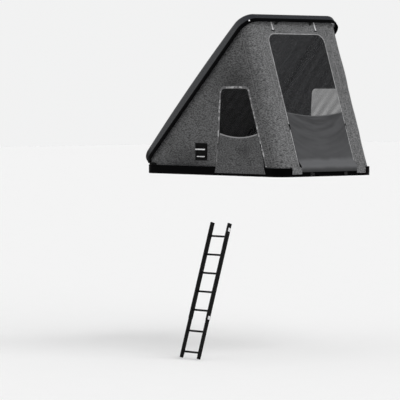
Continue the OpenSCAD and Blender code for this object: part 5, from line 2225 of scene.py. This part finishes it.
@dataclass
class Studio:
    """Pale floor, soft light and the camera."""

    floor_z: float = -1.8845
    floor_size: float = 90.0
    floor_tones: Pair = (0.897, 0.912)
    azimuth: float = 48.51
    elevation: float = 2.2236
    lens: float = 250.3
    sensor: float = 36.0
    clip: float = 300.0
    distance: float = 30.1277
    shift_right: float = -0.6261
    shift_up: float = -0.2824
    background: Triple = (0.885, 0.887, 0.887)
    ambient: float = 0.56
    flag_slope: float = 0.6
    flag_span: Pair = (-0.3, 0.8)
    flag_ends: Pair = (1.0, 0.3)
    key_power: float = 2.6
    key_spread: float = 70.0
    key_from: Triple = (0.84, 0.10, 0.53)

    def build(self) -> None:
        """Sets up the view."""
        bpy.context.scene.view_settings.view_transform = "Standard"
        self.floor()
        self.world()
        self.lamps()
        self.camera()

    def floor(self) -> None:
        """Makes a wide pale floor."""
        bm = bmesh.new()
        bmesh.ops.create_grid(bm, x_segments=2, y_segments=2, size=self.floor_size)
        data = bpy.data.meshes.new("studio_floor")
        bm.to_mesh(data)
        bm.free()
        plate = bpy.data.objects.new("studio_floor", data)
        plate.location.z = self.floor_z
        g = Graph("floor_pale")
        colour = g.tones(g.speckle(3.0), (1.0, 1.0, 1.0), *self.floor_tones)
        data.materials.append(g.close(g.surface(Base_Color=colour, Roughness=0.9, Specular_IOR_Level=0.0)))
        bpy.context.scene.collection.objects.link(plate)

    def world(self) -> None:
        """Sets a world that is pale to the camera, shaded in reflections and softer as light."""
        world = bpy.data.worlds.new("studio")
        bpy.context.scene.world = world
        g = Graph(world)
        _, across, upward = g.split(g.node("ShaderNodeTexCoord", out="Generated"))
        flag = g.remap((across + upward) * self.flag_slope, self.flag_span, self.flag_ends, soft=False)
        pale = (*self.background, 1.0)
        light = g.node("ShaderNodeBackground", inputs={"Color": (1, 1, 1, 1), "Strength": self.ambient})
        seen = g.node("ShaderNodeBackground", inputs={"Color": pale})
        shiny = g.node("ShaderNodeBackground", inputs={"Color": pale, "Strength": flag})
        camera, clear, glossy = (g.node("ShaderNodeLightPath", out=f"Is {ray} Ray")
                                 for ray in ("Camera", "Transmission", "Glossy"))
        g.close(g.mix(glossy, g.mix(camera.biggest(clear), light, seen), shiny), "ShaderNodeOutputWorld")

    def lamps(self) -> None:
        """Adds one broad soft key from the rear right of the view."""
        sun = bpy.data.lights.new("key", "SUN")
        sun.energy = self.key_power
        sun.angle = math.radians(self.key_spread)
        lamp = bpy.data.objects.new("key", sun)
        lamp.visible_glossy = False
        lamp.rotation_euler = Vector(self.key_from).to_track_quat("Z", "Y").to_euler()
        bpy.context.scene.collection.objects.link(lamp)

    def camera(self) -> None:
        """Adds the camera at the photograph's angle, for a square picture."""
        a, e = math.radians(self.azimuth), math.radians(self.elevation)
        back = Vector((math.sin(a) * math.cos(e), -math.cos(a) * math.cos(e), math.sin(e)))
        right = Vector((math.cos(a), math.sin(a), 0.0))
        up = back.cross(right)
        eye = right * self.shift_right + up * self.shift_up + back * self.distance
        data = bpy.data.cameras.new("view")
        data.lens = self.lens
        data.sensor_width = self.sensor
        data.clip_end = self.clip
        camera = bpy.data.objects.new("view", data)
        camera.matrix_world = Matrix.Translation(eye) @ Matrix((right, up, back)).transposed().to_4x4()
        bpy.context.scene.collection.objects.link(camera)
        bpy.context.scene.camera = camera


def main() -> None:
    """Builds the tent piece by piece."""
    logging.basicConfig(level=logging.INFO, format="%(message)s")
    finishes = Finishes()
    Studio().build()
    rear = RearPlane()
    side_line, rear_line = Openings().side(), Openings().rear(rear)
    Base(finishes).build()
    Mattress(finishes).build()
    Lid(finishes).build()
    Walls(finishes, side_line, rear_line, rear).build()
    for side in Side:
        SideDoor(finishes, side_line, SidePlane(side), f"{side.word}_window", side=side).build()
    RearDoor(finishes, rear_line, rear, "rear_door").build()
    LashPatch(finishes, SidePlane(Side.LEFT)).build()
    Ladder(finishes).build()
    Hardware(finishes).dress()


if __name__ == "__main__":
    main()
